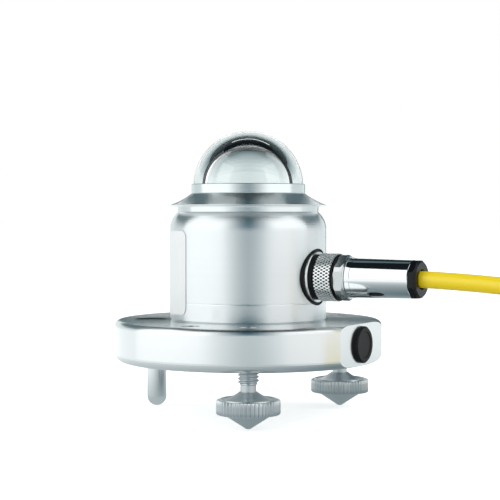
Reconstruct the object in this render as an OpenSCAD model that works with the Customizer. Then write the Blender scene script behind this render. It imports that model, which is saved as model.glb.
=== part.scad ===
// Pyranometer with one glass dome, on a round base with two levelling screws.
// +Z is up and +X runs along the connector. The origin lies under the dome's
// axis, on the plane through the tips of the three feet.

/* [Base] */
// Diameter of the base
base_d = 80; // [78:0.5:90]
// Thickness of the base
base_h = 12.2; // [11:0.1:16]
// Height of the base's underside above the tips of the feet
base_clearance = 16; // [15:0.1:22]
// Rounding of the base's upper edge
base_top_round = 1.8; // [0.5:0.1:2.5]
// Rounding of the base's lower edge
base_bottom_round = 2.6; // [1:0.1:4]
// Depth of the flat facet on the connector side
facet_depth = 2.4; // [1:0.1:4]
// Distance of a mounting hole from the base's edge
mount_inset = 7.5; // [6:0.5:9]
// Diameter of a mounting hole, for an M5 screw
mount_hole_d = 5.5; // [4.3:0.1:6.5]
// Distance of the three feet from the base's edge
foot_inset = 7; // [6:0.5:9]
// Diameter of the fixed foot
foot_d = 6; // [4:0.1:8]
// Depth of the fixed foot in the base
foot_depth = 8; // [4:0.1:9]

/* [Levelling screws] */
// Outer diameter of the thread
screw_d = 5.9; // [5:0.1:8]
// Diameter of the plain neck under the thread
neck_d = 4.44; // [3:0.02:4.8]
// Length of the plain neck above the thumbwheel
neck_h = 1.9; // [1:0.1:2.5]
// Length of thread that stands in the base
screw_grip = 7.5; // [5:0.1:7.8]
// Diameter of the thumbwheel
wheel_d = 17.9; // [15:0.1:20]
// Height of the knurled band
band_h = 4; // [3:0.1:5]
// Height of the cone under the knurled band
tip_h = 4.2; // [3:0.1:5]
// Height of the cone over the knurled band
hub_h = 2.2; // [1.5:0.1:2.6]
// Number of ridges round the thumbwheel
ridge_count = 50; // [30:1:60]
// Depth of the grooves between the ridges
ridge_depth = 0.45; // [0.2:0.05:0.7]

/* [Bubble level] */
// Outer diameter of the level's cup
level_d = 10.8; // [8:0.1:11]
// Distance of the level's middle from the base's edge
level_inset = 11.1; // [10:0.1:11.2]
// Direction of the level, from the connector
level_angle = 210; // [200:1:225]
// Depth of the cup
level_h = 6; // [4:0.1:8]
// Wall of the cup
level_wall = 0.7; // [0.4:0.1:1.2]
// Thickness of the window
level_window_t = 1.1; // [0.8:0.1:1.5]

/* [Body] */
// Diameter of the body
body_d = 46.8; // [46:0.1:47]
// Height of the body's straight side
body_side_h = 26.7; // [25:0.1:34]
// Height of the rounded shoulder
shoulder_h = 5.3; // [4:0.1:7]
// Distance that the shoulder draws in
shoulder_in = 2.4; // [1:0.1:3]
// Wall of the body
body_wall = 3; // [2:0.1:4]
// Height of the label
label_h = 24.5; // [15:0.1:24.6]
// Angle that the label takes round the body
label_span = 139; // [60:1:160]
// Thickness of the label
label_t = 0.15; // [0.1:0.01:0.3]

/* [Dome cap] */
// Distance that the drip edge stays inside the body's side
skirt_in = 0.2; // [0:0.1:0.6]
// Height of the drip edge over the body's top
skirt_rise = 2.2; // [1.8:0.1:2.6]
// Height of the skirt's cone
cone_h = 3.5; // [3:0.1:5]
// Height of the bezel round the dome
bezel_h = 2.7; // [2:0.1:4]
// Wall of the bezel
bezel_wall = 0.55; // [0.4:0.05:1]

/* [Dome] */
// Diameter of the glass dome
dome_d = 32.8; // [30:0.1:33.6]
// Thickness of the glass
dome_wall = 4; // [2:0.1:4.1]
// Height of the straight rim under the half sphere
dome_rim_h = 3; // [2.8:0.1:4]
// Thickness of the gasket under the rim
dome_seal_t = 0.6; // [0.3:0.1:1]

/* [Sensor] */
// Gap between the sensor's base and the inside of the glass
sensor_gap = 1.5; // [1.4:0.1:3]
// Height of the sensor's base
sensor_h = 7.2; // [6:0.1:7.8]
// Width of the sensor's base that shows round the thermopile
thermopile_inset = 4.4; // [3.9:0.1:6]
// Thickness of the thermopile
thermopile_t = 1; // [0.5:0.1:1.5]
// Width of the thermopile that shows round the black absorber
absorber_inset = 0.7; // [0.2:0.1:3]
// Thickness of the circuit board
board_t = 1.6; // [1:0.1:2.4]
// Gap between the circuit board and the body's inner wall
board_gap = 3.4; // [1.4:0.1:4.4]

/* [Connector] */
// Height of the connector's axis above the base
connector_rise = 13.1; // [12:0.1:14]
// Depth of the flat seat for the connector in the body
seat_depth = 1.5; // [1.4:0.1:2]
// Thickness of the gasket
gasket_t = 0.9; // [0.5:0.1:1.3]
// Diameter of the gasket
gasket_d = 16.3; // [15:0.1:16.4]
// Diameter of the receptacle's flange
flange_d = 15; // [14.4:0.1:16]
// Thickness of the receptacle's flange
flange_t = 0.9; // [0.7:0.1:1.4]
// Outer diameter of the receptacle's thread
nose_d = 11.9; // [11:0.1:12]
// Length of the receptacle's nose
nose_h = 5.6; // [4.8:0.1:5.7]
// Number of contacts
contact_count = 4; // [3:1:5]
// Diameter of a contact pin
pin_d = 1; // [0.8:0.05:1]
// Outer diameter of the ring seal round the nose
nose_seal_d = 13.2; // [12.6:0.1:14]

/* [Plug] */
// Diameter of the coupling ring
ring_d = 14; // [13.6:0.1:15]
// Length of the coupling ring
ring_h = 5.7; // [5.6:0.1:6.4]
// Number of knurl diamonds round the coupling ring
diamond_count = 36; // [24:1:40]
// Number of half diamonds along the coupling ring
diamond_rows = 10; // [6:2:12]
// Depth of the diamond knurl
diamond_depth = 0.3; // [0.1:0.05:0.4]
// Width of the wrench nut over its flats
hex_af = 12.2; // [12:0.1:13]
// Outer diameter of the washer between the coupling ring and the nut
washer_d = 13.4; // [12:0.1:13.8]
// Length of the wrench nut
hex_h = 2.9; // [2:0.1:4]
// Length of the chromed shell
shell_h = 19.5; // [18:0.1:24]
// Diameter of the chromed shell at the nut
shell_d = 11.6; // [11.4:0.1:12]
// Diameter of the chromed shell at the clamp cap
shell_end_d = 10.9; // [10.6:0.1:11.4]
// Width of the clamp cap over its flats
clamp_af = 10.6; // [10.2:0.1:11]
// Thickness of the clamp cap
clamp_t = 2.3; // [1.6:0.1:3]

/* [Cable] */
// Diameter of the cable
cable_d = 4.8; // [4:0.1:4.8]
// Radius of the coil's smallest turn
coil_inner_r = 20.6; // [19.2:0.1:22]
// Gap between the coil's turns
coil_gap = 0.42; // [0.41:0.01:0.6]
// Number of whole turns in the coil
coil_whole_turns = 22; // [10:1:22]

/* [Hidden] */
$fn = 96;
// Corners round a six-sided bar
hex_sides = 6;
// Steps in a quarter of a rounded outline
arc_steps = 8;
// Overrun of a cut past the face that it opens
over = 0.5;
// Radial gap between pieces that are fitted together
fit = 0.05;
// Radial gap of a piece that turns or slides in another
run_fit = 0.05;
// Radial gap round a screw in its clearance hole
screw_gap = 0.15;

// Heights of the base and the body
base_r = base_d / 2;
base_top = base_clearance + base_h;
body_r = body_d / 2;
shoulder_z = base_top + body_side_h;
body_top = shoulder_z + shoulder_h;
cavity_r = body_r - body_wall;
collar_r = body_r - shoulder_in;
shoulder_r = (shoulder_h * shoulder_h + shoulder_in * shoulder_in) / (2 * shoulder_in);
shoulder_turn = asin(shoulder_h / shoulder_r);
body_foot_bevel = 0.5;
body_line_h = 5.6;
body_line_w = 0.3;
body_line_depth = 0.05;
deck_h = 8.2;
cavity_top = body_top - deck_h;

// Spigot, screws and seal that join the base and the body
spigot_h = 3;
spigot_r = cavity_r - 2 * fit;
seal_groove_h = 1.9;
seal_groove_depth = 1.5;
seal_cord_r = 0.72;
seal_groove_z = base_top + (spigot_h - seal_groove_h) / 2;
lug_r = 3.9;
lug_h = 7;
lug_radius = spigot_r - 3.5;
lug_angles = [60, 180, 300];
body_screw_r = 1.5;
body_screw_head_r = 2.75;
body_screw_head_h = 3;
body_screw_socket_r = 1.44;
body_screw_socket_h = 1.3;
body_screw_sink = 3.2;
body_screw_bite = 5;
body_screw_z = base_clearance + body_screw_sink;
lug_z = base_top + spigot_h + fit;

// Side socket in the facet and the plug that covers it
facet_x = base_r - facet_depth;
port_rise_share = 0.507;
port_r = 4.2;
port_depth = 14;
port_z = base_clearance + port_rise_share * base_h;
port_head_r = 5.3;
port_head_t = 1.2;
port_head_bevel = 0.4;
port_head_dish_r = 3.9;
port_head_dish = 0.2;
port_stem_h = 8;

// Levelling screws
foot_radius = base_r - foot_inset;
foot_angles = [180, 300, 60];
foot_r = foot_d / 2;
wheel_r = wheel_d / 2;
wheel_ridge_r = wheel_r - ridge_depth;
wheel_bevel = 0.35;
tip_round = 1.2;
tip_cone_r = wheel_r * 0.737;
hub_cone_r = wheel_r * 0.77;
rim_r = wheel_r * 0.9;
rim_h = 0.35;
neck_r = neck_d / 2;
screw_r = screw_d / 2;
band_top = tip_h + band_h;
hub_top = band_top + hub_h;
thread_z = hub_top + neck_h;
neck_socket = 5.4;
screw_top = base_clearance + screw_grip;
screw_end_bevel = 0.6;
hub_swell_share = 0.42;
hub_drop_share = 0.28;

// Bubble level
level_r = level_d / 2;
level_floor = 1.2;
level_lip = 0.15;
level_bubble_r = 1.5;
level_bubble_h = 0.5;
level_bubble_sphere_r = (pow(level_bubble_r, 2) + pow(level_bubble_h, 2)) / (2 * level_bubble_h);
level_bubble_off = 0.5;
level_window_z = base_top - level_lip - level_window_t;
level_radius = base_r - level_inset;
level_x = level_radius * cos(level_angle);
level_y = level_radius * sin(level_angle);

// Label on the body
label_z = base_top + 2.1;
label_corner_r = 2;
label_corner_turn = label_corner_r / body_r * 180 / PI;
label_corner_steps = 4;
label_corner_run_on = 0.3;
label_angle = 180;

// Cap that holds the dome
skirt_r = body_r - skirt_in;
dome_r = dome_d / 2;
boss_r = collar_r - 2.1;
boss_h = 2.4;
boss_top = body_top + boss_h;
cap_z = body_top + 0.12;
skirt_z = body_top + skirt_rise;
drip_under = 0.5;
drip_edge = 0.12;
seat_r = dome_r + fit;
bezel_r = seat_r + bezel_wall;
bezel_z = skirt_z + cone_h;
bezel_top = bezel_z + bezel_h;
bezel_bevel = 0.15;
bezel_line_depth = 0.1;
cap_web = 1.9;
cap_seat_z = boss_top + cap_web;
cone_bow_r_share = 0.38;
cone_bow_z_share = 0.42;

// Dome
dome_inner_r = dome_r - dome_wall;
dome_rim_z = cap_seat_z + dome_seal_t;
dome_z = dome_rim_z + dome_rim_h;
dome_seal_w = 2.6;
dome_seal_out_r = dome_r - 0.3;

// Sensor, its leads and the circuit board
sensor_r = dome_inner_r - sensor_gap;
sensor_z = boss_top - 4.2;
pocket_r = sensor_r + 0.1;
sensor_top = sensor_z + sensor_h;
sensor_flange_h = 1.2;
sensor_waist_r = sensor_r - 0.8;
sensor_groove_h = 2.4;
thermopile_r = sensor_r - thermopile_inset;
absorber_r = thermopile_r - absorber_inset;
absorber_t = 0.25;
screen_t = 1.1;
screen_bevel = 0.4;
screen_r = sensor_r + 0.2;
lead_bore_r = 3;
lead_r = 0.4;
lead_circle_r = 1.6;
lead_count = 4;
spacer_h = 1.5;
spacer_r = 2.5;
spacer_inset = 2.8;
spacer_angles = [90, 210, 330];
board_screw_r = 1.2;
board_screw_head_r = 2.2;
board_screw_head_h = 1.4;
board_screw_bite = 4;
board_r = cavity_r - board_gap;
spacer_circle_r = board_r - spacer_inset;
board_top = cavity_top - spacer_h;
board_z = board_top - board_t;
chip_size = [6, 5, 1.6];
chip_place_shares = [[-0.3, 0.3], [-0.38, -0.34], [0.02, -0.52]];
capacitor_r = 2;
capacitor_h = 4;
capacitor_place_shares = [[-0.62, 0.05], [0.18, 0.52]];

// Receptacle, measured along +X
connector_z = base_top + connector_rise;
seat_x = body_r - seat_depth;
flange_x = seat_x + gasket_t;
nose_x = flange_x + flange_t;
nose_end_x = nose_x + nose_h;
nose_r = nose_d / 2;
nose_bore_r = 4.5;
nose_bevel = 0.4;
flange_bevel = 0.2;
nose_seal_h = 1.2;
nose_seal_bevel = 0.35;
seat_r_gap = 0.15;
wall_bore_r = nose_r + fit;
pad_r = 9;
pad_t = 1.8;
pad_x = cavity_r - pad_t;
pad_end_x = sqrt(body_r * body_r - pad_r * pad_r) - screw_gap;
nut_af = 14;
nut_h = 3;
stub_x = pad_x - nut_h - 1;
insert_r = nose_bore_r - fit;
insert_x = stub_x + 1;
insert_end_x = nose_x + 0.5;
pin_r = pin_d / 2;
contact_circle_r = 1.85;
contact_turn = 45;
pin_x = stub_x - 1;
pin_end_x = nose_end_x + 0.7;
pin_round = 0.3;
wire_r = 0.45;
wire_bend_r = 2.5;
wire_step = 2.4;

// Plug, measured along +X
ring_r = ring_d / 2;
ring_gap = 0.2;
ring_x = nose_x + nose_seal_h + ring_gap;
ring_end_x = ring_x + ring_h;
ring_bore_r = nose_r + 0.15;
ring_lip = 0.6;
ring_land = 0.3;
sleeve_r = 5;
catch_r = 5.7;
catch_x = nose_end_x + 0.3;
catch_end_x = ring_end_x - ring_lip - 0.1;
washer_t = 0.3;
washer_gap = 0.06;
washer_x = ring_end_x + washer_gap;
hex_x = washer_x + washer_t;
hex_end_x = hex_x + hex_h;
hex_corner_r = hex_af / 2 / cos(30);
hex_round_r = hex_corner_r - 0.35;
hex_bevel = 0.5;
hex_turn = 7;
shim_h = 0.4;
shim_r = 6.1;
shell_x = hex_end_x + shim_h;
shell_end_x = shell_x + shell_h;
shell_r = shell_d / 2;
shell_end_r = shell_end_d / 2;
shell_wall = 0.6;
shell_bore_r = shell_end_r - shell_wall;
shell_thread_r = 4.9;
shell_thread_h = 5.5;
plug_insert_r = nose_bore_r - 0.2;
plug_insert_x = insert_end_x + 0.25;
plug_insert_end_x = shell_x + 0.3;
plug_rear_bore_r = 3.4;
contact_r = 0.85;
contact_x = plug_insert_x + 0.7;
contact_end_x = plug_insert_end_x + 2;
contact_bore_end_x = pin_end_x + 1;
core_r = 0.5;
clamp_bevel = 0.45;
clamp_bore_r = cable_d / 2 + 0.5;
clamp_spigot_h = 2;
clamp_facets = 8;
clamp_corner_r = clamp_af / 2 / cos(180 / clamp_facets);
clamp_end_r = clamp_af / 2 - clamp_bevel;
seal_h = 6.4;
clamp_x = shell_end_x;
clamp_end_x = clamp_x + clamp_t;
seal_end_x = clamp_x - clamp_spigot_h;
seal_x = seal_end_x - seal_h;
jacket_x = seal_x - 3;

// Cable
cable_r = cable_d / 2;
cable_sides = 12;
coil_sides = 6;
coil_layers = 4;
coil_steps = 24;
coil_extra_steps = 2;
coil_turn_step = 360 / coil_steps;
coil_pitch = cable_d + coil_gap;
coil_turns = coil_whole_turns + coil_extra_steps / coil_steps;
coil_layer_turns = coil_turns / coil_layers;
coil_outer_r = coil_inner_r + coil_pitch * coil_layer_turns;
coil_top_z = cable_r + coil_pitch * (coil_layers - 1);
coil_start = -100;
coil_climb = 0.5;
// Middle of the coil on the floor
coil_place = [136.5, 0];
// Middle line of the cable from the plug to the coil, chosen by hand
cable_route = [
    [62, 0, 41.1], [70, 0, 40.7], [79, 0, 40.1], [86.1, -1.2, 39.5], [92.4, -4.6, 38.2],
    [97.3, -9.9, 36], [100.2, -16.5, 33.2], [100.7, -23.7, 30.1], [101.5, -31.7, 26.5],
    [105.1, -38.9, 23.2], [111.1, -44.2, 20.4], [118.6, -47.1, 18.6]
];
core_length = 30;
core_pitch = 2.1;
core_skin_r = 0.75;
ferrule_r = 0.55;
ferrule_h = 8;

// Points of an arc in an outline, from angle a to angle b
function arc(x, y, r, a, b) =
    [for (i = [0:arc_steps]) let (t = a + (b - a) * i / arc_steps) [x + r * cos(t), y + r * sin(t)]];

// Points of a curve that is drawn towards one corner
function bow(a, c, b) =
    [for (i = [0:arc_steps]) let (t = i / arc_steps) pow(1 - t, 2) * a + 2 * t * (1 - t) * c + t * t * b];

function unit(v) = v / norm(v);

// Direction of a path at one of its points
function heading(path, i) =
    unit(path[min(i + 1, len(path) - 1)] - path[max(i - 1, 0)]);

// Points of one ring of a tube, square to its direction
function ring_points(p, way, r, sides) =
    let (side = unit(cross([0, 0, 1], way)), rise = cross(way, side))
    [for (j = [0:sides - 1]) let (t = 90 + 360 * j / sides) p + r * (cos(t) * side + sin(t) * rise)];

// Faces of a grid of rings that closes round and has flat ends
function tube_faces(rings, sides) = concat(
    [[for (j = [0:sides - 1]) j]],
    [for (i = [0:rings - 2], j = [0:sides - 1]) let (k = (j + 1) % sides, a = i * sides, b = a + sides)
        each [[a + j, b + j, b + k], [a + j, b + k, a + k]]],
    [[for (j = [sides - 1:-1:0]) (rings - 1) * sides + j]]
);

// Unbroken tube along a path
module tube(path, r, sides) {
    rings = [for (i = [0:len(path) - 1]) ring_points(path[i], heading(path, i), r, sides)];
    polyhedron(points = [for (one = rings) each one], faces = tube_faces(len(path), sides));
}

// Half of the wanted turn in either direction, as a wave between the coil's two radii
function folded(turn) =
    let (t = turn % (2 * coil_layer_turns)) t <= coil_layer_turns ? t : 2 * coil_layer_turns - t;

// Smooth step from 0 to 1
function eased(t) = let (c = max(0, min(1, t))) c * c * (3 - 2 * c);

// Layers that the cable has come down at a given turn
function layers_down(turn, k = 1) = k >= coil_layers ? 0 :
    eased((turn - k * coil_layer_turns) / coil_climb + 0.5) + layers_down(turn, k + 1);

function coil_point(turn) =
    let (r = coil_outer_r - coil_pitch * folded(turn), t = coil_start + 360 * turn)
    [coil_place[0] + r * cos(t), coil_place[1] + r * sin(t), coil_top_z - coil_pitch * layers_down(turn)];

function coil_heading(turn) = let (t = coil_start + 360 * turn) [-sin(t), cos(t), 0];

coil_line = [for (i = [0:coil_whole_turns * coil_steps + coil_extra_steps]) coil_point(i / coil_steps)];
coil_from = coil_line[0] - cable_d * coil_heading(0);
coil_to = coil_line[len(coil_line) - 1] + cable_d * coil_heading(coil_turns);
coil_path = concat([coil_from], coil_line, [coil_to]);

lead_path = concat(
    [[jacket_x, 0, connector_z], [seal_end_x, 0, connector_z], [clamp_end_x, 0, connector_z]],
    cable_route,
    [coil_from]
);

function path_length(path, i = 0) =
    i >= len(path) - 1 ? 0 : norm(path[i + 1] - path[i]) + path_length(path, i + 1);

// Distances between points of the coil that lie a whole number of turns apart
coil_gaps = [
    for (i = [0:len(coil_line) - 1], turn = [1:coil_whole_turns], step = [-1:1])
        let (j = i + turn * coil_steps + step) if (j < len(coil_line)) norm(coil_line[j] - coil_line[i]) - cable_d
];
echo("least gap of the coil to itself, mm", min(coil_gaps));
echo("length of the cable with its cores, mm", path_length(lead_path) + path_length(coil_path) + core_length);

// Places children on the connector's axis, at a distance from the dome's axis
module on_connector(x) {
    translate([x, 0, connector_z]) rotate([0, 90, 0]) children();
}

// Repeats children round an axis
module around(count, radius, start = 0) {
    for (i = [0:count - 1]) rotate([0, 0, start + 360 * i / count]) translate([radius, 0, 0]) children();
}

module at_angles(angles, radius) {
    for (a = angles) rotate([0, 0, a]) translate([radius, 0, 0]) children();
}

module hex_bar(af, h) {
    cylinder(r = af / 2 / cos(30), h = h, $fn = hex_sides);
}

module base_flange() {
    color("gainsboro") difference() {
        union() {
            rotate_extrude() polygon(concat(
                [[0, base_clearance]],
                arc(base_r - base_bottom_round, base_clearance + base_bottom_round, base_bottom_round, -90, 0),
                arc(base_r - base_top_round, base_top - base_top_round, base_top_round, 0, 90),
                [[0, base_top]]
            ));
            translate([0, 0, base_top - over]) cylinder(r = spigot_r, h = spigot_h + over);
        }
        translate([facet_x, -base_r, base_clearance - over])
            cube([base_r, base_d, base_h + 2 * over]);
        for (side = [-1, 1]) translate([0, side * (base_r - mount_inset), base_clearance - over])
            cylinder(d = mount_hole_d, h = base_h + 2 * over);
        at_angles([for (i = [1:2]) foot_angles[i]], foot_radius) translate([0, 0, base_clearance - over])
            cylinder(r = screw_r + run_fit, h = base_h + 2 * over);
        at_angles([foot_angles[0]], foot_radius) translate([0, 0, base_clearance - over])
            cylinder(r = foot_r + fit, h = foot_depth + over);
        translate([level_x, level_y, base_top - level_h])
            cylinder(r = level_r + fit, h = level_h + over);
        translate([facet_x - port_depth, 0, port_z]) rotate([0, 90, 0])
            cylinder(r = port_r, h = port_depth + over);
        at_angles(lug_angles, lug_radius) translate([0, 0, base_clearance - over]) {
            cylinder(r = body_screw_r + screw_gap, h = base_h + spigot_h + 2 * over);
            cylinder(r = body_screw_head_r + screw_gap, h = body_screw_sink + over);
        }
        translate([0, 0, seal_groove_z]) difference() {
            cylinder(r = spigot_r + over, h = seal_groove_h);
            translate([0, 0, -over])
                cylinder(r = spigot_r - seal_groove_depth, h = seal_groove_h + 2 * over);
        }
    }
}

module fixed_foot() {
    color("silver") at_angles([foot_angles[0]], foot_radius) {
        translate([0, 0, foot_r]) cylinder(r = foot_r, h = base_clearance + foot_depth - foot_r);
        translate([0, 0, foot_r]) sphere(r = foot_r);
    }
}

module port_plug() {
    color("black") translate([facet_x, 0, port_z]) rotate([0, 90, 0]) {
        rotate_extrude() polygon([
            [0, 0], [port_head_r, 0], [port_head_r, port_head_t - port_head_bevel],
            [port_head_r - port_head_bevel, port_head_t], [port_head_dish_r, port_head_t],
            [port_head_dish_r - port_head_dish, port_head_t - port_head_dish],
            [0, port_head_t - port_head_dish]
        ]);
        translate([0, 0, -port_stem_h]) cylinder(r = port_r - fit, h = port_stem_h + port_head_bevel);
    }
}

module level_cup() {
    color("dimgray") translate([level_x, level_y, base_top - level_h]) difference() {
        cylinder(r = level_r, h = level_h);
        translate([0, 0, level_floor]) cylinder(r = level_r - level_wall, h = level_h);
    }
}

module level_fluid() {
    fluid_z = base_top - level_h + level_floor;
    color("palegreen") difference() {
        translate([level_x, level_y, fluid_z])
            cylinder(r = level_r - level_wall - fit, h = level_window_z - fluid_z);
        translate([level_x + level_bubble_off, level_y, level_window_z + level_bubble_sphere_r - level_bubble_h])
            sphere(r = level_bubble_sphere_r);
    }
}

module level_window() {
    color("azure") translate([level_x, level_y, level_window_z])
        cylinder(r = level_r - level_wall - fit, h = level_window_t);
}

module body_seal() {
    color("black") translate([0, 0, seal_groove_z + seal_groove_h / 2])
        rotate_extrude() translate([spigot_r - seal_groove_depth + seal_cord_r + fit, 0]) circle(r = seal_cord_r);
}

module body_screws() {
    color("silver") at_angles(lug_angles, lug_radius) translate([0, 0, body_screw_z]) difference() {
        union() {
            translate([0, 0, -body_screw_head_h]) cylinder(r = body_screw_head_r, h = body_screw_head_h);
            cylinder(r = body_screw_r, h = lug_z + body_screw_bite - body_screw_z);
        }
        translate([0, 0, -body_screw_head_h - over])
            cylinder(r = body_screw_socket_r, h = body_screw_socket_h + over, $fn = hex_sides);
    }
}

module body_shell() {
    color("lightgray") difference() {
        union() {
            rotate_extrude() polygon(concat(
                [[cavity_r, base_top], [body_r - body_foot_bevel, base_top],
                 [body_r, base_top + body_foot_bevel],
                 [body_r, base_top + body_line_h - body_line_w],
                 [body_r - body_line_depth, base_top + body_line_h],
                 [body_r, base_top + body_line_h + body_line_w]],
                arc(body_r - shoulder_r, shoulder_z, shoulder_r, 0, shoulder_turn),
                [[boss_r, body_top], [boss_r, boss_top], [pocket_r, boss_top], [pocket_r, sensor_z],
                 [lead_bore_r, sensor_z], [lead_bore_r, cavity_top], [cavity_r, cavity_top]]
            ));
            on_connector(pad_x) cylinder(r = pad_r, h = pad_end_x - pad_x);
            at_angles(lug_angles, lug_radius) translate([0, 0, lug_z]) cylinder(r = lug_r, h = lug_h);
        }
        on_connector(seat_x) cylinder(d = gasket_d + 2 * seat_r_gap, h = seat_depth + over);
        on_connector(pad_x - over) cylinder(r = wall_bore_r, h = pad_t + body_wall + over);
        at_angles(lug_angles, lug_radius) translate([0, 0, lug_z - over])
            cylinder(r = body_screw_r + fit, h = body_screw_bite + 2 * over);
        at_angles(spacer_angles, spacer_circle_r) translate([0, 0, cavity_top - over])
            cylinder(r = board_screw_r + fit, h = board_screw_bite + 2 * over);
    }
}

// Block over one corner of the label, less the rounding that stays. Its end chords run on past the edges
module label_corner(turn, z, up) {
    side = turn > 0 ? 1 : -1;
    far = label_corner_r + over;
    chords = [for (i = [0:label_corner_steps]) let (t = 90 * i / label_corner_steps)
        label_corner_r * [cos(t), sin(t)]];
    run_on = label_corner_run_on * (chords[0] - chords[1]);
    last = [run_on[1], label_corner_r + run_on[0]];
    points = concat(
        [chords[0] + run_on], [for (i = [1:label_corner_steps - 1]) chords[i]],
        [last, [last[0], far], [far, far], [far, run_on[1]]]
    );
    rotate([0, 0, label_angle + turn]) translate([body_r - over, 0, z]) rotate([90, 0, 90])
        linear_extrude(2 * over + label_t) polygon([for (p = points) [side * p[0], up * p[1]]]);
}

module rating_label() {
    corner = label_span / 2 - label_corner_turn;
    color("whitesmoke") difference() {
        rotate([0, 0, label_angle - label_span / 2]) rotate_extrude(angle = label_span)
            translate([body_r + fit / 2, label_z]) square([label_t, label_h]);
        for (turn = [-corner, corner]) {
            label_corner(turn, label_z + label_corner_r, -1);
            label_corner(turn, label_z + label_h - label_corner_r, 1);
        }
    }
}

module dome_cap() {
    bow_r = bezel_r + cone_bow_r_share * (skirt_r - bezel_r);
    bow_z = skirt_z + cone_bow_z_share * cone_h;
    color("lightgray") rotate_extrude() polygon(concat(
        [[boss_r + fit, cap_z], [collar_r, cap_z], [collar_r, skirt_z - drip_under],
         [skirt_r - drip_under, skirt_z - drip_under], [skirt_r, skirt_z - drip_edge]],
        bow([skirt_r, skirt_z], [bow_r, bow_z], [bezel_r - bezel_line_depth, bezel_z]),
        [[bezel_r, bezel_z + bezel_line_depth], [bezel_r, bezel_top - bezel_bevel],
         [bezel_r - bezel_bevel, bezel_top], [seat_r, bezel_top], [seat_r, cap_seat_z],
         [screen_r + fit, cap_seat_z], [screen_r + fit, boss_top], [boss_r + fit, boss_top]]
    ));
}

module dome_seal() {
    color("black") translate([0, 0, cap_seat_z]) difference() {
        cylinder(r = dome_seal_out_r, h = dome_seal_t);
        translate([0, 0, -over]) cylinder(r = dome_seal_out_r - dome_seal_w, h = dome_seal_t + 2 * over);
    }
}

module glass_dome() {
    color("lightcyan", 0.5) difference() {
        union() {
            translate([0, 0, dome_z]) sphere(r = dome_r);
            translate([0, 0, dome_rim_z]) cylinder(r = dome_r, h = dome_rim_h);
        }
        translate([0, 0, dome_z]) sphere(r = dome_inner_r);
        translate([0, 0, dome_rim_z - over]) cylinder(r = dome_inner_r, h = dome_rim_h + over);
        translate([0, 0, dome_rim_z - dome_d]) cylinder(r = dome_d, h = dome_d);
    }
}

module sensor_base() {
    color("silver") rotate_extrude() polygon([
        [lead_bore_r, sensor_z], [sensor_r, sensor_z], [sensor_r, sensor_z + sensor_flange_h],
        [sensor_waist_r, sensor_z + sensor_flange_h],
        [sensor_waist_r, sensor_z + sensor_flange_h + sensor_groove_h],
        [sensor_r, sensor_z + sensor_flange_h + sensor_groove_h], [sensor_r, sensor_top], [0, sensor_top],
        [0, sensor_top - sensor_flange_h], [lead_bore_r, sensor_top - sensor_flange_h]
    ]);
}

module thermopile() {
    color("tan") translate([0, 0, sensor_top]) cylinder(r = thermopile_r, h = thermopile_t);
}

module absorber_disc() {
    color("black") translate([0, 0, sensor_top + thermopile_t]) cylinder(r = absorber_r, h = absorber_t);
}

module screen_ring() {
    color("white") translate([0, 0, sensor_top]) rotate_extrude() polygon([
        [thermopile_r + fit, 0], [screen_r, 0], [screen_r, screen_t - screen_bevel],
        [screen_r - screen_bevel, screen_t], [thermopile_r + fit, screen_t]
    ]);
}

module sensor_leads() {
    color("orange") around(lead_count, lead_circle_r) translate([0, 0, board_top])
        cylinder(r = lead_r, h = sensor_top - sensor_flange_h - board_top);
}

module board_spacers() {
    color("silver") at_angles(spacer_angles, spacer_circle_r) translate([0, 0, board_top]) difference() {
        cylinder(r = spacer_r, h = spacer_h);
        translate([0, 0, -over]) cylinder(r = board_screw_r + fit, h = spacer_h + 2 * over);
    }
}

module circuit_board() {
    color("darkgreen") translate([0, 0, board_z]) difference() {
        cylinder(r = board_r, h = board_t);
        at_angles(spacer_angles, spacer_circle_r) translate([0, 0, -over])
            cylinder(r = board_screw_r + fit, h = board_t + 2 * over);
    }
}

module board_components() {
    color("black") {
        for (place = chip_place_shares)
            translate([place[0] * board_r, place[1] * board_r, board_z - chip_size[2]]) cube(chip_size);
        for (place = capacitor_place_shares)
            translate([place[0] * board_r, place[1] * board_r, board_z - capacitor_h])
                cylinder(r = capacitor_r, h = capacitor_h);
    }
}

module board_screws() {
    color("silver") at_angles(spacer_angles, spacer_circle_r) {
        translate([0, 0, board_z - board_screw_head_h]) cylinder(r = board_screw_head_r, h = board_screw_head_h);
        translate([0, 0, board_z - board_screw_head_h])
            cylinder(r = board_screw_r, h = board_screw_head_h + board_t + spacer_h + board_screw_bite);
    }
}

// Wire that runs back from a pin and turns up to the board
module harness_wire(y, z, run) {
    translate([pin_x - run, y, z]) rotate([0, 90, 0]) cylinder(r = wire_r, h = run);
    translate([pin_x - run, y, z + wire_bend_r]) rotate([90, 0, 0]) rotate([0, 0, 180])
        rotate_extrude(angle = 90) translate([wire_bend_r, 0]) circle(r = wire_r);
    translate([pin_x - run - wire_bend_r, y, z + wire_bend_r])
        cylinder(r = wire_r, h = board_z - z - wire_bend_r);
}

module harness() {
    color("orange") for (i = [0:contact_count - 1]) {
        turn = contact_turn + 360 * i / contact_count;
        harness_wire(contact_circle_r * sin(turn), connector_z - contact_circle_r * cos(turn),
            wire_step * (cos(turn) > 0 ? 2 : 1));
    }
}

module receptacle_gasket() {
    color("black") on_connector(seat_x) difference() {
        cylinder(d = gasket_d, h = gasket_t);
        translate([0, 0, -over]) cylinder(r = wall_bore_r, h = gasket_t + 2 * over);
    }
}

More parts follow.
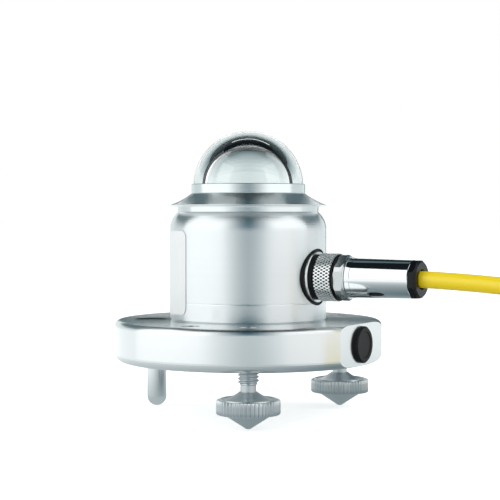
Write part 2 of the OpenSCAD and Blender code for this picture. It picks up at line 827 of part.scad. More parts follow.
module receptacle_body() {
    stub_h = flange_x - stub_x;
    color("silver") on_connector(stub_x) rotate_extrude() polygon([
        [nose_bore_r, 0], [nose_r - nose_bevel, 0], [nose_r, nose_bevel], [nose_r, stub_h],
        [flange_d / 2, stub_h], [flange_d / 2, stub_h + flange_t - flange_bevel],
        [flange_d / 2 - flange_bevel, stub_h + flange_t], [nose_r, stub_h + flange_t],
        [nose_r, stub_h + flange_t + nose_h - nose_bevel],
        [nose_r - nose_bevel, stub_h + flange_t + nose_h], [nose_bore_r, stub_h + flange_t + nose_h]
    ]);
}

module receptacle_nut() {
    color("goldenrod") on_connector(pad_x - nut_h) difference() {
        rotate([0, 0, 30]) hex_bar(nut_af, nut_h);
        translate([0, 0, -over]) cylinder(r = nose_r + fit, h = nut_h + 2 * over);
    }
}

module receptacle_insert() {
    color("black") on_connector(insert_x) difference() {
        cylinder(r = insert_r, h = insert_end_x - insert_x);
        around(contact_count, contact_circle_r, contact_turn) translate([0, 0, -over])
            cylinder(r = pin_r + fit, h = insert_end_x - insert_x + 2 * over);
    }
}

module receptacle_pins() {
    color("gold") on_connector(pin_x) around(contact_count, contact_circle_r, contact_turn) {
        cylinder(r = pin_r, h = pin_end_x - pin_x - pin_round);
        translate([0, 0, pin_end_x - pin_x - pin_round]) cylinder(r1 = pin_r, r2 = pin_r - pin_round, h = pin_round);
    }
}

module nose_seal() {
    color("black") on_connector(nose_x) rotate_extrude() polygon([
        [nose_r + fit, 0], [nose_seal_d / 2, 0], [nose_seal_d / 2, nose_seal_h - nose_seal_bevel],
        [nose_seal_d / 2 - nose_seal_bevel, nose_seal_h], [nose_r + fit, nose_seal_h]
    ]);
}

module levelling_stud(angle) {
    color("silver") at_angles([angle], foot_radius) rotate_extrude() polygon([
        [0, neck_socket], [neck_r, neck_socket], [neck_r, thread_z], [screw_r, thread_z + screw_r - neck_r],
        [screw_r, screw_top - screw_end_bevel], [screw_r - screw_end_bevel, screw_top], [0, screw_top]
    ]);
}

// Star outline of a straight knurl
module knurl_outline(r_out, r_in, count) {
    polygon([for (i = [0:2 * count - 1]) let (r = i % 2 == 0 ? r_out : r_in, t = 180 * i / count)
        [r * cos(t), r * sin(t)]]);
}

module knurled_band() {
    intersection() {
        translate([0, 0, tip_h]) linear_extrude(band_h) knurl_outline(wheel_r, wheel_ridge_r, ridge_count);
        rotate_extrude() polygon([
            [0, tip_h], [wheel_r - wheel_bevel, tip_h], [wheel_r, tip_h + wheel_bevel],
            [wheel_r, band_top - wheel_bevel], [wheel_r - wheel_bevel, band_top], [0, band_top]
        ]);
    }
}

module thumbwheel(angle) {
    hub_r = neck_r + run_fit + 0.35;
    swell = hub_r + hub_swell_share * (hub_cone_r - hub_r);
    tip_rise = tip_round * 0.4;
    color("silver") at_angles([angle], foot_radius) difference() {
        union() {
            knurled_band();
            rotate_extrude() polygon(concat(
                bow([0, 0], [tip_round * 0.6, 0], [tip_round, tip_rise]),
                [[tip_cone_r, tip_h - tip_rise / 2], [tip_cone_r, tip_h], [tip_cone_r, band_top],
                 [0, band_top]]
            ));
            rotate_extrude() polygon(concat(
                [[0, band_top - over], [rim_r, band_top - over], [rim_r, band_top],
                 [rim_r - rim_h, band_top + rim_h], [hub_cone_r + rim_h / 2, band_top + rim_h]],
                bow([hub_cone_r, band_top + rim_h / 3], [swell, band_top + hub_drop_share * hub_h], [hub_r, hub_top]),
                [[0, hub_top]]
            ));
        }
        translate([0, 0, neck_socket]) cylinder(r = neck_r + run_fit, h = hub_top);
    }
}

// Solid bar whose side is a diamond knurl, bevelled at both ends
module diamond_bar(r, depth, land, h) {
    columns = 2 * diamond_count;
    pitch = (h - 2 * land) / diamond_rows;
    heights = concat([0], [for (i = [0:diamond_rows]) land + i * pitch], [h]);
    points = [for (i = [0:len(heights) - 1], j = [0:columns - 1])
        let (end = i == 0 || i == len(heights) - 1, t = 180 * j / diamond_count,
            k = end ? r - 1.5 * depth : (i + j) % 2 == 0 ? r - depth : r)
        [k * cos(t), k * sin(t), heights[i]]];
    polyhedron(points = points, faces = concat(
        [[for (j = [0:columns - 1]) j]],
        [for (i = [0:len(heights) - 2], j = [0:columns - 1])
            let (k = (j + 1) % columns, a = i * columns, b = a + columns)
            each (i + j) % 2 == 0 ? [[a + j, b + j, b + k], [a + j, b + k, a + k]]
                                  : [[a + j, b + j, a + k], [b + j, b + k, a + k]]],
        [[for (j = [columns - 1:-1:0]) (len(heights) - 1) * columns + j]]
    ));
}

module coupling_ring() {
    color("silver") on_connector(ring_x) difference() {
        diamond_bar(ring_r, diamond_depth, ring_land, ring_h);
        translate([0, 0, -over]) cylinder(r = ring_bore_r, h = ring_h - ring_lip + over);
        translate([0, 0, -over]) cylinder(r = sleeve_r + run_fit, h = ring_h + 2 * over);
    }
}

module ring_washer() {
    color("black") on_connector(washer_x) difference() {
        cylinder(d = washer_d, h = washer_t);
        translate([0, 0, -over]) cylinder(r = sleeve_r + fit, h = washer_t + 2 * over);
    }
}

module plug_nut() {
    length = shell_x + shell_thread_h - catch_x;
    catch_end = catch_end_x - catch_x;
    hex_from = hex_x - catch_x;
    hex_to = hex_end_x - catch_x;
    color("silver") on_connector(catch_x) difference() {
        union() {
            rotate_extrude() polygon([
                [0, 0], [catch_r, 0], [catch_r, catch_end], [sleeve_r, catch_end],
                [sleeve_r, hex_from + over], [shim_r, hex_from + over], [shim_r, hex_to + shim_h],
                [shell_thread_r, hex_to + shim_h], [shell_thread_r, length], [0, length]
            ]);
            intersection() {
                translate([0, 0, hex_from]) rotate([0, 0, hex_turn]) hex_bar(hex_af, hex_h);
                rotate_extrude() polygon([
                    [0, hex_from], [hex_round_r - hex_bevel, hex_from], [hex_round_r, hex_from + hex_bevel],
                    [hex_round_r, hex_to - hex_bevel], [hex_round_r - hex_bevel, hex_to], [0, hex_to]
                ]);
            }
        }
        translate([0, 0, -over]) cylinder(r = plug_insert_r + fit, h = plug_insert_end_x - catch_x + over);
        cylinder(r = plug_rear_bore_r, h = length + over);
    }
}

module plug_insert() {
    length = plug_insert_end_x - plug_insert_x;
    color("black") on_connector(plug_insert_x) difference() {
        cylinder(r = plug_insert_r, h = length);
        around(contact_count, contact_circle_r, contact_turn) {
            translate([0, 0, -over]) cylinder(r = pin_r + run_fit, h = length);
            translate([0, 0, contact_x - plug_insert_x]) cylinder(r = contact_r + fit, h = length);
        }
    }
}

module plug_contacts() {
    color("gold") on_connector(contact_x) around(contact_count, contact_circle_r, contact_turn) difference() {
        cylinder(r = contact_r, h = contact_end_x - contact_x);
        translate([0, 0, -over]) cylinder(r = pin_r + run_fit, h = contact_bore_end_x - contact_x + over);
    }
}

module plug_cores() {
    color("orange") on_connector(contact_end_x) around(contact_count, contact_circle_r, contact_turn)
        cylinder(r = core_r, h = jacket_x - contact_end_x);
}

module plug_shell() {
    color("white") on_connector(shell_x) difference() {
        cylinder(r1 = shell_r, r2 = shell_end_r, h = shell_h);
        translate([0, 0, -over]) cylinder(r = shell_thread_r + fit, h = shell_thread_h + over + fit);
        translate([0, 0, -over]) cylinder(r = shell_bore_r, h = shell_h + 2 * over);
    }
}

module clamp_seal() {
    color("dimgray") on_connector(seal_x) difference() {
        cylinder(r = shell_bore_r - fit, h = seal_h);
        translate([0, 0, -over]) cylinder(r = cable_r + fit, h = seal_h + 2 * over);
    }
}

module clamp_cap() {
    color("black") on_connector(clamp_x) difference() {
        union() {
            translate([0, 0, -clamp_spigot_h]) cylinder(r = shell_bore_r - fit, h = clamp_spigot_h + clamp_bevel);
            intersection() {
                rotate([0, 0, 180 / clamp_facets]) cylinder(r = clamp_corner_r, h = clamp_t, $fn = clamp_facets);
                cylinder(r1 = clamp_end_r + clamp_t, r2 = clamp_end_r, h = clamp_t);
            }
        }
        translate([0, 0, -clamp_spigot_h - over])
            cylinder(r = clamp_bore_r, h = clamp_spigot_h + clamp_t + 2 * over);
    }
}

module cable_lead() {
    color("gold") tube(lead_path, cable_r, cable_sides);
}

module cable_coil() {
    color("gold") tube(coil_path, cable_r, coil_sides);
}

// Cores that stand out of the cable's far end, each with its ferrule
module cable_end_cores() {
    turn = coil_start + 360 * coil_turns + 90;
    color("white") translate(coil_to) rotate([0, 0, turn]) rotate([0, 90, 0])
        for (x = [-1, 1], y = [-1, 1]) translate([x * core_pitch / 2, y * core_pitch / 2, 0]) {
            cylinder(r = core_skin_r, h = core_length - ferrule_h);
            translate([0, 0, core_length - ferrule_h]) cylinder(r = ferrule_r, h = ferrule_h);
        }
}

base_flange();
fixed_foot();
port_plug();
level_cup();
level_fluid();
level_window();
body_seal();
body_screws();
body_shell();
rating_label();
dome_cap();
dome_seal();
glass_dome();
sensor_base();
thermopile();
absorber_disc();
screen_ring();
sensor_leads();
board_spacers();
circuit_board();
board_components();
board_screws();
harness();
receptacle_gasket();
receptacle_body();
receptacle_nut();
receptacle_insert();
receptacle_pins();
nose_seal();
levelling_stud(foot_angles[1]);  // front_levelling_stud
thumbwheel(foot_angles[1]);  // front_thumbwheel
levelling_stud(foot_angles[2]);  // rear_levelling_stud
thumbwheel(foot_angles[2]);  // rear_thumbwheel
coupling_ring();
ring_washer();
plug_nut();
plug_insert();
plug_contacts();
plug_cores();
plug_shell();
clamp_seal();
clamp_cap();
cable_lead();
cable_coil();
cable_end_cores();
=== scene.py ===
import logging
import math
from dataclasses import dataclass, field
from enum import Enum
from typing import Sequence

import bmesh
import bpy
import numpy as np
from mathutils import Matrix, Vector


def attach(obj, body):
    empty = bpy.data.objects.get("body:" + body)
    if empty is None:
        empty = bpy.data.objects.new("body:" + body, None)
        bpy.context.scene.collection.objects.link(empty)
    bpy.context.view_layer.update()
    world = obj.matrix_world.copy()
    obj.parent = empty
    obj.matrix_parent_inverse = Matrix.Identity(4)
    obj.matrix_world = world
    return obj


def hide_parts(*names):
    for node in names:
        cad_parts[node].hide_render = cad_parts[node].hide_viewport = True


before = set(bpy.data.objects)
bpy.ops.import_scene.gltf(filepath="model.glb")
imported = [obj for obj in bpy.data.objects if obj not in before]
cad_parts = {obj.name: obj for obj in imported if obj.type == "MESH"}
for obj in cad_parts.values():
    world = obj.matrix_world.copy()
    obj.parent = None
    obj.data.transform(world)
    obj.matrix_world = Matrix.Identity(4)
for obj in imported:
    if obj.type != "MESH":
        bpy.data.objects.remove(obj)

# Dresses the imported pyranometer: finishes, fine surfaces, cable and studio.

MM = 0.001
UP = np.array([0.0, 0.0, 1.0])
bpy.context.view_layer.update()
LOG = logging.getLogger("pyranometer")

Colour = tuple[float, float, float]


class Axis(Enum):
    """Direction of an axis that a piece is turned about."""

    X = "x"
    Z = "z"


class Body(Enum):
    """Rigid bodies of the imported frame."""

    HOUSING = "housing"
    FRONT_STUD = "front_stud"
    FRONT_WHEEL = "front_wheel"
    REAR_STUD = "rear_stud"
    REAR_WHEEL = "rear_wheel"
    PLUG = "plug"
    RING = "ring"


class Seen(Enum):
    """What shows a card."""

    METAL = "metal"
    GLASS = "glass"
    BOTH = "both"


class Ends(Enum):
    """What closes the two ends of a grid that closes round."""

    OPEN = "open"
    CAPPED = "capped"
    JOINED = "joined"


# ---------------------------------------------------------------- shader nodes


class NodePen:
    """Places nodes in a tree and links them, from left to right."""

    def __init__(self, tree: bpy.types.NodeTree) -> None:
        """Keeps the tree that the nodes go into."""
        self.tree = tree
        self.column = 0

    def put(self, kind: str, **settings: object) -> bpy.types.Node:
        """Adds a node.

        Args:
            kind: Blender's name of the node type.
            settings: properties of the node and their values.

        Returns:
            The new node.
        """
        node = self.tree.nodes.new(kind)
        node.location = (self.column * 180, 0)
        self.column += 1
        for name, value in settings.items():
            setattr(node, name, value)
        return node

    def join(self, source: bpy.types.NodeSocket, target: bpy.types.NodeSocket) -> None:
        """Links one socket to another."""
        self.tree.links.new(source, target)

    def feed(self, target: bpy.types.NodeSocket, value: object) -> None:
        """Links a socket to an input, or writes a constant into it.

        Args:
            target: the input.
            value: a socket, a number or a colour.
        """
        if isinstance(value, bpy.types.NodeSocket):
            self.join(value, target)
        elif isinstance(value, tuple):
            target.default_value = (*value, 1.0)
        else:
            target.default_value = value

    def maths(
        self, operation: str, first: object, second: object = 0.0, clamp: bool = False
    ) -> bpy.types.NodeSocket:
        """Adds a Math node.

        Args:
            operation: what it does.
            first: a socket or a number.
            second: a socket or a number.
            clamp: whether the result stays between 0 and 1.

        Returns:
            Its output.
        """
        node = self.put("ShaderNodeMath", operation=operation, use_clamp=clamp)
        self.feed(node.inputs[0], first)
        self.feed(node.inputs[1], second)
        return node.outputs[0]

    def blend(self, share: object, first: object, second: object) -> bpy.types.NodeSocket:
        """Mixes two colours.

        Args:
            share: how much of the second, a socket or a number.
            first: a colour or a socket.
            second: a colour or a socket.

        Returns:
            The mixed colour.
        """
        node = self.put("ShaderNodeMix", data_type="RGBA")
        sockets = {socket.identifier: socket for socket in node.inputs}
        for key, value in (("Factor_Float", share), ("A_Color", first), ("B_Color", second)):
            self.feed(sockets[key], value)
        return next(s for s in node.outputs if s.identifier == "Result_Color")

    def noise(
        self, place: bpy.types.NodeSocket, scale: object, detail: float, roughness: float = 0.5
    ) -> bpy.types.NodeSocket:
        """Adds a noise texture.

        Args:
            place: the coordinates that it reads.
            scale: a socket or a number.
            detail: its octaves.
            roughness: how strong each finer octave is.

        Returns:
            Its value from 0 to 1.
        """
        node = self.put("ShaderNodeTexNoise")
        given = {"Vector": place, "Scale": scale, "Detail": detail, "Roughness": roughness}
        for key, value in given.items():
            self.feed(node.inputs[key], value)
        return node.outputs["Fac"]


def fresh_pen(owner: bpy.types.ID) -> NodePen:
    """Empties the node tree of a material or a world.

    Args:
        owner: the material or the world.

    Returns:
        A pen for its tree.
    """
    owner.use_nodes = True
    owner.node_tree.nodes.clear()
    return NodePen(owner.node_tree)


class Effect:
    """A node group that several materials share."""

    def __init__(self, name: str, inputs: dict[str, float], outputs: Sequence[str]) -> None:
        """Makes the empty group with its sockets.

        Args:
            name: the group's name.
            inputs: names and default values of its float inputs.
            outputs: names of its float outputs.
        """
        self.tree = bpy.data.node_groups.new(name, "ShaderNodeTree")
        add_socket = self.tree.interface.new_socket
        add_socket("Place", in_out="INPUT", socket_type="NodeSocketVector").hide_value = True
        for key, value in inputs.items():
            add_socket(key, in_out="INPUT", socket_type="NodeSocketFloat").default_value = value
        for key in outputs:
            add_socket(key, in_out="OUTPUT", socket_type="NodeSocketFloat")
        self.pen = NodePen(self.tree)
        self.enter = self.pen.put("NodeGroupInput")
        self.leave = self.pen.put("NodeGroupOutput")


def turning_marks() -> bpy.types.NodeTree:
    """Fine lines that a lathe tool leaves: noise along Place's X, streaked along its Y and Z.

    Returns:
        The group, with outputs Height and Shade.
    """
    effect = Effect("turning marks", {"Lines": 900.0, "Streak": 0.02}, ("Height", "Shade"))
    pen, given, made = effect.pen, effect.enter.outputs, effect.leave.inputs
    split = pen.put("ShaderNodeSeparateXYZ")
    pen.join(given["Place"], split.inputs[0])
    streak = pen.maths("MULTIPLY", given["Lines"], given["Streak"])
    merge = pen.put("ShaderNodeCombineXYZ")
    for number, scale in enumerate((given["Lines"], streak, streak)):
        pen.join(pen.maths("MULTIPLY", split.outputs[number], scale), merge.inputs[number])
    fine = pen.noise(merge.outputs[0], 1.0, 3.0, 0.6)
    broad = pen.noise(merge.outputs[0], 0.16, 2.0)
    pen.join(fine, made["Height"])
    fine_part = pen.maths("MULTIPLY", fine, 0.35)
    broad_part = pen.maths("MULTIPLY", broad, 0.65)
    pen.join(pen.maths("ADD", fine_part, broad_part), made["Shade"])
    return effect.tree


def fine_grain() -> bpy.types.NodeTree:
    """Even grain of a blasted, moulded or plated skin.

    Returns:
        The group, with outputs Height and Shade.
    """
    effect = Effect("fine grain", {"Grain": 2500.0, "Cloud": 60.0}, ("Height", "Shade"))
    pen, given, made = effect.pen, effect.enter.outputs, effect.leave.inputs
    for scale, detail, target in (("Grain", 4.0, "Height"), ("Cloud", 3.0, "Shade")):
        pen.join(pen.noise(given["Place"], given[scale], detail), made[target])
    return effect.tree


def handling_wear() -> bpy.types.NodeTree:
    """Soft patches and small specks where hands and dust have been.

    Returns:
        The group, with outputs Patches and Specks.
    """
    effect = Effect("handling wear", {"Patch": 45.0, "Speck": 900.0}, ("Patches", "Specks"))
    pen, given, made = effect.pen, effect.enter.outputs, effect.leave.inputs
    pen.join(pen.noise(given["Place"], given["Patch"], 5.0, 0.62), made["Patches"])
    cells = pen.put("ShaderNodeTexVoronoi")
    pen.join(given["Place"], cells.inputs["Vector"])
    pen.join(given["Speck"], cells.inputs["Scale"])
    speck_size = 0.07
    pen.join(pen.maths("LESS_THAN", cells.outputs["Distance"], speck_size), made["Specks"])
    return effect.tree


class Effects:
    """The shared groups, each built once."""

    def __init__(self) -> None:
        """Builds all groups."""
        self.turning = turning_marks()
        self.grain = fine_grain()
        self.wear = handling_wear()


def use_effect(
    pen: NodePen, tree: bpy.types.NodeTree, place: bpy.types.NodeSocket, **values: float
) -> bpy.types.Node:
    """Places a shared group in a material.

    Args:
        pen: the material's pen.
        tree: the group.
        place: the coordinates that it reads.
        values: values of its inputs.

    Returns:
        The group node.
    """
    node = pen.put("ShaderNodeGroup", node_tree=tree)
    pen.join(place, node.inputs["Place"])
    for name, value in values.items():
        node.inputs[name].default_value = value
    return node


def about_axis(
    pen: NodePen, axis: Axis, centre: Sequence[float]
) -> tuple[bpy.types.NodeSocket, bpy.types.NodeSocket, bpy.types.NodeSocket, bpy.types.NodeSocket]:
    """Coordinates about an axis of turning, in metres.

    Args:
        pen: the material's pen.
        axis: the axis of turning.
        centre: a point on that axis.

    Returns:
        Place along the axis, the two places across it, and the distance from it.
    """
    coords = pen.put("ShaderNodeTexCoord")
    shift = pen.put("ShaderNodeMapping", vector_type="POINT")
    shift.inputs["Location"].default_value = [-c for c in centre]
    pen.join(coords.outputs["Object"], shift.inputs["Vector"])
    split = pen.put("ShaderNodeSeparateXYZ")
    pen.join(shift.outputs[0], split.inputs[0])
    order = (2, 0, 1) if axis is Axis.Z else (0, 1, 2)
    rise, first, second = (split.outputs[number] for number in order)
    squares = [pen.maths("MULTIPLY", side, side) for side in (first, second)]
    return rise, first, second, pen.maths("SQRT", pen.maths("ADD", *squares))


def lathe_place(pen: NodePen, axis: Axis, centre: Sequence[float]) -> bpy.types.NodeSocket:
    """Coordinates whose X changes across the tool's lines, on faces and sides alike.

    Args:
        pen: the material's pen.
        axis: the axis of turning.
        centre: a point on that axis.

    Returns:
        The vector (place along the axis + distance from it, the two places across it).
    """
    rise, first, second, radius = about_axis(pen, axis, centre)
    merge = pen.put("ShaderNodeCombineXYZ")
    for source, target in zip((pen.maths("ADD", rise, radius), first, second), merge.inputs):
        pen.join(source, target)
    return merge.outputs[0]


# --------------------------------------------------------------------- finishes


@dataclass(frozen=True)
class Finish:
    """A finish: its name, colour and how it takes light."""

    name: str
    colour: Colour
    roughness: float = 0.4

    def start(self) -> tuple[bpy.types.Material, NodePen, bpy.types.Node]:
        """Makes the empty material with its shader.

        Returns:
            The material, its pen and its Principled shader.
        """
        material = bpy.data.materials.new(self.name)
        pen = fresh_pen(material)
        shader = pen.put("ShaderNodeBsdfPrincipled")
        out = pen.put("ShaderNodeOutputMaterial")
        pen.join(shader.outputs[0], out.inputs["Surface"])
        shader.inputs["Base Color"].default_value = (*self.colour, 1.0)
        shader.inputs["Roughness"].default_value = self.roughness
        material.diffuse_color = (*self.colour, 1.0)
        return material, pen, shader

    def build(self, effects: Effects) -> bpy.types.Material:
        """Builds the material. Each kind of finish replaces this.

        Args:
            effects: the shared node groups.

        Returns:
            The material.
        """
        raise NotImplementedError

    def shade(
        self, pen: NodePen, shader: bpy.types.Node, share: bpy.types.NodeSocket, spread: float
    ) -> None:
        """Varies the base colour and the roughness over the surface.

        Args:
            pen: the material's pen.
            shader: its Principled shader.
            share: a mask from 0 to 1.
            spread: how far the colour and the roughness go from their middle value.
        """
        darker = tuple(c * (1 - spread) for c in self.colour)
        lighter = tuple(min(1.0, c * (1 + spread)) for c in self.colour)
        pen.join(pen.blend(share, darker, lighter), shader.inputs["Base Color"])
        rough = pen.maths("MULTIPLY", share, 2 * spread * self.roughness)
        pen.join(pen.maths("ADD", rough, self.roughness * (1 - spread)), shader.inputs["Roughness"])

    def dent(
        self, pen: NodePen, shader: bpy.types.Node, height: bpy.types.NodeSocket, depth: float
    ) -> None:
        """Feeds a height into the shader's normal.

        Args:
            pen: the material's pen.
            shader: its Principled shader.
            height: a height from 0 to 1.
            depth: what 1 stands for, in metres.
        """
        bump = pen.put("ShaderNodeBump")
        bump.inputs["Strength"].default_value = 1.0
        bump.inputs["Distance"].default_value = depth
        pen.join(height, bump.inputs["Height"])
        pen.join(bump.outputs[0], shader.inputs["Normal"])


@dataclass(frozen=True)
class TurnedMetal(Finish):
    """Metal turned on a lathe, with the tool's fine lines round its axis."""

    axis: Axis = Axis.Z
    centre: Sequence[float] = (0.0, 0.0, 0.0)
    lines: float = 2600.0
    depth: float = 2e-6
    spread: float = 0.05
    anisotropy: float = 0.0
    streak: float = 0.02
    quarter_turn: float = 0.25

    def build(self, effects: Effects) -> bpy.types.Material:
        """Builds the material, with lines, patches and a little depth.

        Args:
            effects: the shared node groups.

        Returns:
            The material.
        """
        material, pen, shader = self.start()
        shader.inputs["Metallic"].default_value = 1.0
        shader.inputs["Anisotropic"].default_value = self.anisotropy
        if self.anisotropy:
            round_axis = self.axis.value.upper()
            tangent = pen.put("ShaderNodeTangent", direction_type="RADIAL", axis=round_axis)
            pen.join(tangent.outputs[0], shader.inputs["Tangent"])
            shader.inputs["Anisotropic Rotation"].default_value = self.quarter_turn
        place = lathe_place(pen, self.axis, self.centre)
        marks = use_effect(pen, effects.turning, place, Lines=self.lines, Streak=self.streak)
        wear = use_effect(pen, effects.wear, pen.put("ShaderNodeTexCoord").outputs["Object"])
        both = pen.maths("ADD", marks.outputs["Shade"], wear.outputs["Patches"])
        self.shade(pen, shader, pen.maths("MULTIPLY", both, 0.5), self.spread)
        self.dent(pen, shader, marks.outputs["Height"], self.depth)
        return material


@dataclass(frozen=True)
class PlainMetal(Finish):
    """Plated, polished or blasted metal with an even skin."""

    grain: float = 2500.0
    depth: float = 1e-6
    spread: float = 0.03

    def build(self, effects: Effects) -> bpy.types.Material:
        """Builds the material with its grain.

        Args:
            effects: the shared node groups.

        Returns:
            The material.
        """
        material, pen, shader = self.start()
        shader.inputs["Metallic"].default_value = 1.0
        place = pen.put("ShaderNodeTexCoord").outputs["Object"]
        skin = use_effect(pen, effects.grain, place, Grain=self.grain)
        self.shade(pen, shader, skin.outputs["Shade"], self.spread)
        self.dent(pen, shader, skin.outputs["Height"], self.depth)
        return material


@dataclass(frozen=True)
class KnurledMetal(PlainMetal):
    """Plated metal with painted shade in its hollows: darker the nearer to the axis."""

    axis: Axis = Axis.X
    centre: Sequence[float] = (0.0, 0.0, 0.0)
    crest: float = 0.007
    hollow: float = 0.0066
    # painted shade: the near-black colour that fills the knurl's hollows
    painted_hollow_shade: Colour = (0.008, 0.009, 0.010)

    def build(self, effects: Effects) -> bpy.types.Material:
        """Builds the material: a mask from the radius blends painted shade into the plating.

        Args:
            effects: the shared node groups.

        Returns:
            The material.
        """
        material = super().build(effects)
        pen = NodePen(material.node_tree)
        shader = next(n for n in material.node_tree.nodes if n.type == "BSDF_PRINCIPLED")
        # painted shade: the mask darkens the plating towards the hollows of the knurl
        radius = about_axis(pen, self.axis, self.centre)[-1]
        reach = pen.maths("SUBTRACT", radius, self.hollow)
        share = pen.maths("DIVIDE", reach, self.crest - self.hollow, clamp=True)
        colour = shader.inputs["Base Color"]
        pen.join(pen.blend(share, self.painted_hollow_shade, colour.links[0].from_socket), colour)
        return material


@dataclass(frozen=True)
class Moulded(Finish):
    """Moulded or coated stuff that isn't metal: plastic, rubber, ceramic, film."""

    grain: float = 1800.0
    depth: float = 6e-6
    spread: float = 0.06
    specular: float = 0.5
    coat: float = 0.0

    def build(self, effects: Effects) -> bpy.types.Material:
        """Builds the material with its grain.

        Args:
            effects: the shared node groups.

        Returns:
            The material.
        """
        material, pen, shader = self.start()
        shader.inputs["Specular IOR Level"].default_value = self.specular
        shader.inputs["Coat Weight"].default_value = self.coat
        place = pen.put("ShaderNodeTexCoord").outputs["Object"]
        skin = use_effect(pen, effects.grain, place, Grain=self.grain)
        self.shade(pen, shader, skin.outputs["Shade"], self.spread)
        self.dent(pen, shader, skin.outputs["Height"], self.depth)
        return material


@dataclass(frozen=True)
class ClearGlass(Finish):
    """Clear glass or clear liquid."""

    index: float = 1.5
    tint: float = 0.985

    def build(self, effects: Effects) -> bpy.types.Material:
        """Builds the material, with hardly any roughness and a trace of dust.

        Args:
            effects: the shared node groups.

        Returns:
            The material.
        """
        material, pen, shader = self.start()
        shader.inputs["Metallic"].default_value = 0.0
        shader.inputs["Transmission Weight"].default_value = 1.0
        shader.inputs["IOR"].default_value = self.index
        place = pen.put("ShaderNodeTexCoord").outputs["Object"]
        wear = use_effect(pen, effects.wear, place, Patch=30.0)
        tinted = tuple(c * self.tint for c in self.colour)
        pen.join(pen.blend(wear.outputs["Patches"], self.colour, tinted), shader.inputs["Base Color"])
        haze = pen.maths("MULTIPLY", wear.outputs["Patches"], self.roughness)
        pen.join(haze, shader.inputs["Roughness"])
        return material


@dataclass(frozen=True)
class CircuitLaminate(Finish):
    """Solder mask over copper tracks that run in steps."""

    scale: float = 260.0
    gap: float = 0.03
    mask: tuple[Colour, Colour] = ((0.02, 0.13, 0.06), (0.03, 0.17, 0.08))
    track: Colour = (0.06, 0.28, 0.13)
    relief: float = 3e-5

    def build(self, effects: Effects) -> bpy.types.Material:
        """Builds the material: a brick pattern stands for the tracks.

        Args:
            effects: the shared node groups; not used.

        Returns:
            The material.
        """
        material, pen, shader = self.start()
        place = pen.put("ShaderNodeTexCoord").outputs["Object"]
        brick = pen.put("ShaderNodeTexBrick")
        given = {
            "Vector": place, "Scale": self.scale, "Mortar Size": self.gap,
            "Color1": self.mask[0], "Color2": self.mask[1], "Mortar": self.track,
        }
        for key, value in given.items():
            pen.feed(brick.inputs[key], value)
        pen.join(brick.outputs["Color"], shader.inputs["Base Color"])
        self.dent(pen, shader, brick.outputs["Fac"], self.relief)
        return material


# ------------------------------------------------------------- surfaces in numpy


def grid_faces(rows: int, columns: int, ends: Ends) -> list[tuple[int, ...]]:
    """Quads between the points of a grid that closes round in its second direction.

    Args:
        rows: number of rings.
        columns: points in one ring.
        ends: what closes the first and the last ring.

    Returns:
        Faces as tuples of point numbers, row * columns + column.
    """
    steps = rows if ends is Ends.JOINED else rows - 1
    i, j = np.meshgrid(np.arange(steps), np.arange(columns), indexing="ij")
    k = (j + 1) % columns
    below, above = i * columns, ((i + 1) % rows) * columns
    quads = np.stack([below + j, below + k, above + k, above + j], axis=-1).reshape(-1, 4)
    faces = [tuple(q) for q in quads.tolist()]
    if ends is Ends.CAPPED:
        faces.append(tuple(range(columns - 1, -1, -1)))
        faces.append(tuple(range((rows - 1) * columns, rows * columns)))
    return faces


def place_object(name: str, data: bpy.types.ID) -> bpy.types.Object:
    """Makes an object at the origin and links it to the scene.

    Args:
        name: its name.
        data: its mesh, lamp or camera.

    Returns:
        The object.
    """
    thing = bpy.data.objects.new(name, data)
    bpy.context.scene.collection.objects.link(thing)
    return thing


def piece_from_grid(
    name: str, points: np.ndarray, ends: Ends, material: bpy.types.Material, crease: float = 40.0
) -> bpy.types.Object:
    """Makes a piece from rings of points.

    Args:
        name: the piece's name.
        points: array (rows, columns, 3), in metres.
        ends: what closes the first and the last ring.
        material: its finish.
        crease: edges sharper than this many degrees stay sharp.

    Returns:
        The new object, at the origin.
    """
    rows, columns, _ = points.shape
    mesh = bpy.data.meshes.new(name)
    mesh.from_pydata(points.reshape(-1, 3).tolist(), [], grid_faces(rows, columns, ends))
    mesh.update()
    mesh.validate()
    mesh.shade_smooth()
    mesh.set_sharp_from_angle(angle=math.radians(crease))
    mesh.materials.append(material)
    return place_object(name, mesh)


def join_pieces(name: str, pieces: list[bpy.types.Object]) -> bpy.types.Object:
    """Joins pieces into one object, first piece first.

    Args:
        name: the joined piece's name.
        pieces: the objects to join.

    Returns:
        The joined object.
    """
    with bpy.context.temp_override(
        active_object=pieces[0], selected_editable_objects=pieces, selected_objects=pieces
    ):
        bpy.ops.object.join()
    pieces[0].name = pieces[0].data.name = name
    return pieces[0]


def turned_points(
    profile: Sequence[tuple[float, float]], centre: Sequence[float], axis: Axis, columns: int
) -> np.ndarray:
    """Rings of a surface of revolution: (r cos t, r sin t, h) for each profile point (r, h).

    Args:
        profile: radius and height pairs in millimetres, from low to high along the outside.
        centre: point in millimetres that the profile's heights count from.
        axis: axis of turning.
        columns: points in one ring.

    Returns:
        Array (rows, columns, 3) in metres.
    """
    outline = np.asarray(profile, dtype=float)
    turn = np.linspace(0, 2 * np.pi, columns, endpoint=False)
    r, h = outline[:, 0][:, None], outline[:, 1][:, None]
    u, v, w = r * np.cos(turn), r * np.sin(turn), h + 0 * turn
    order = (u, v, w) if axis is Axis.Z else (w, u, v)
    return (np.stack(order, axis=-1) + np.asarray(centre, dtype=float)) * MM


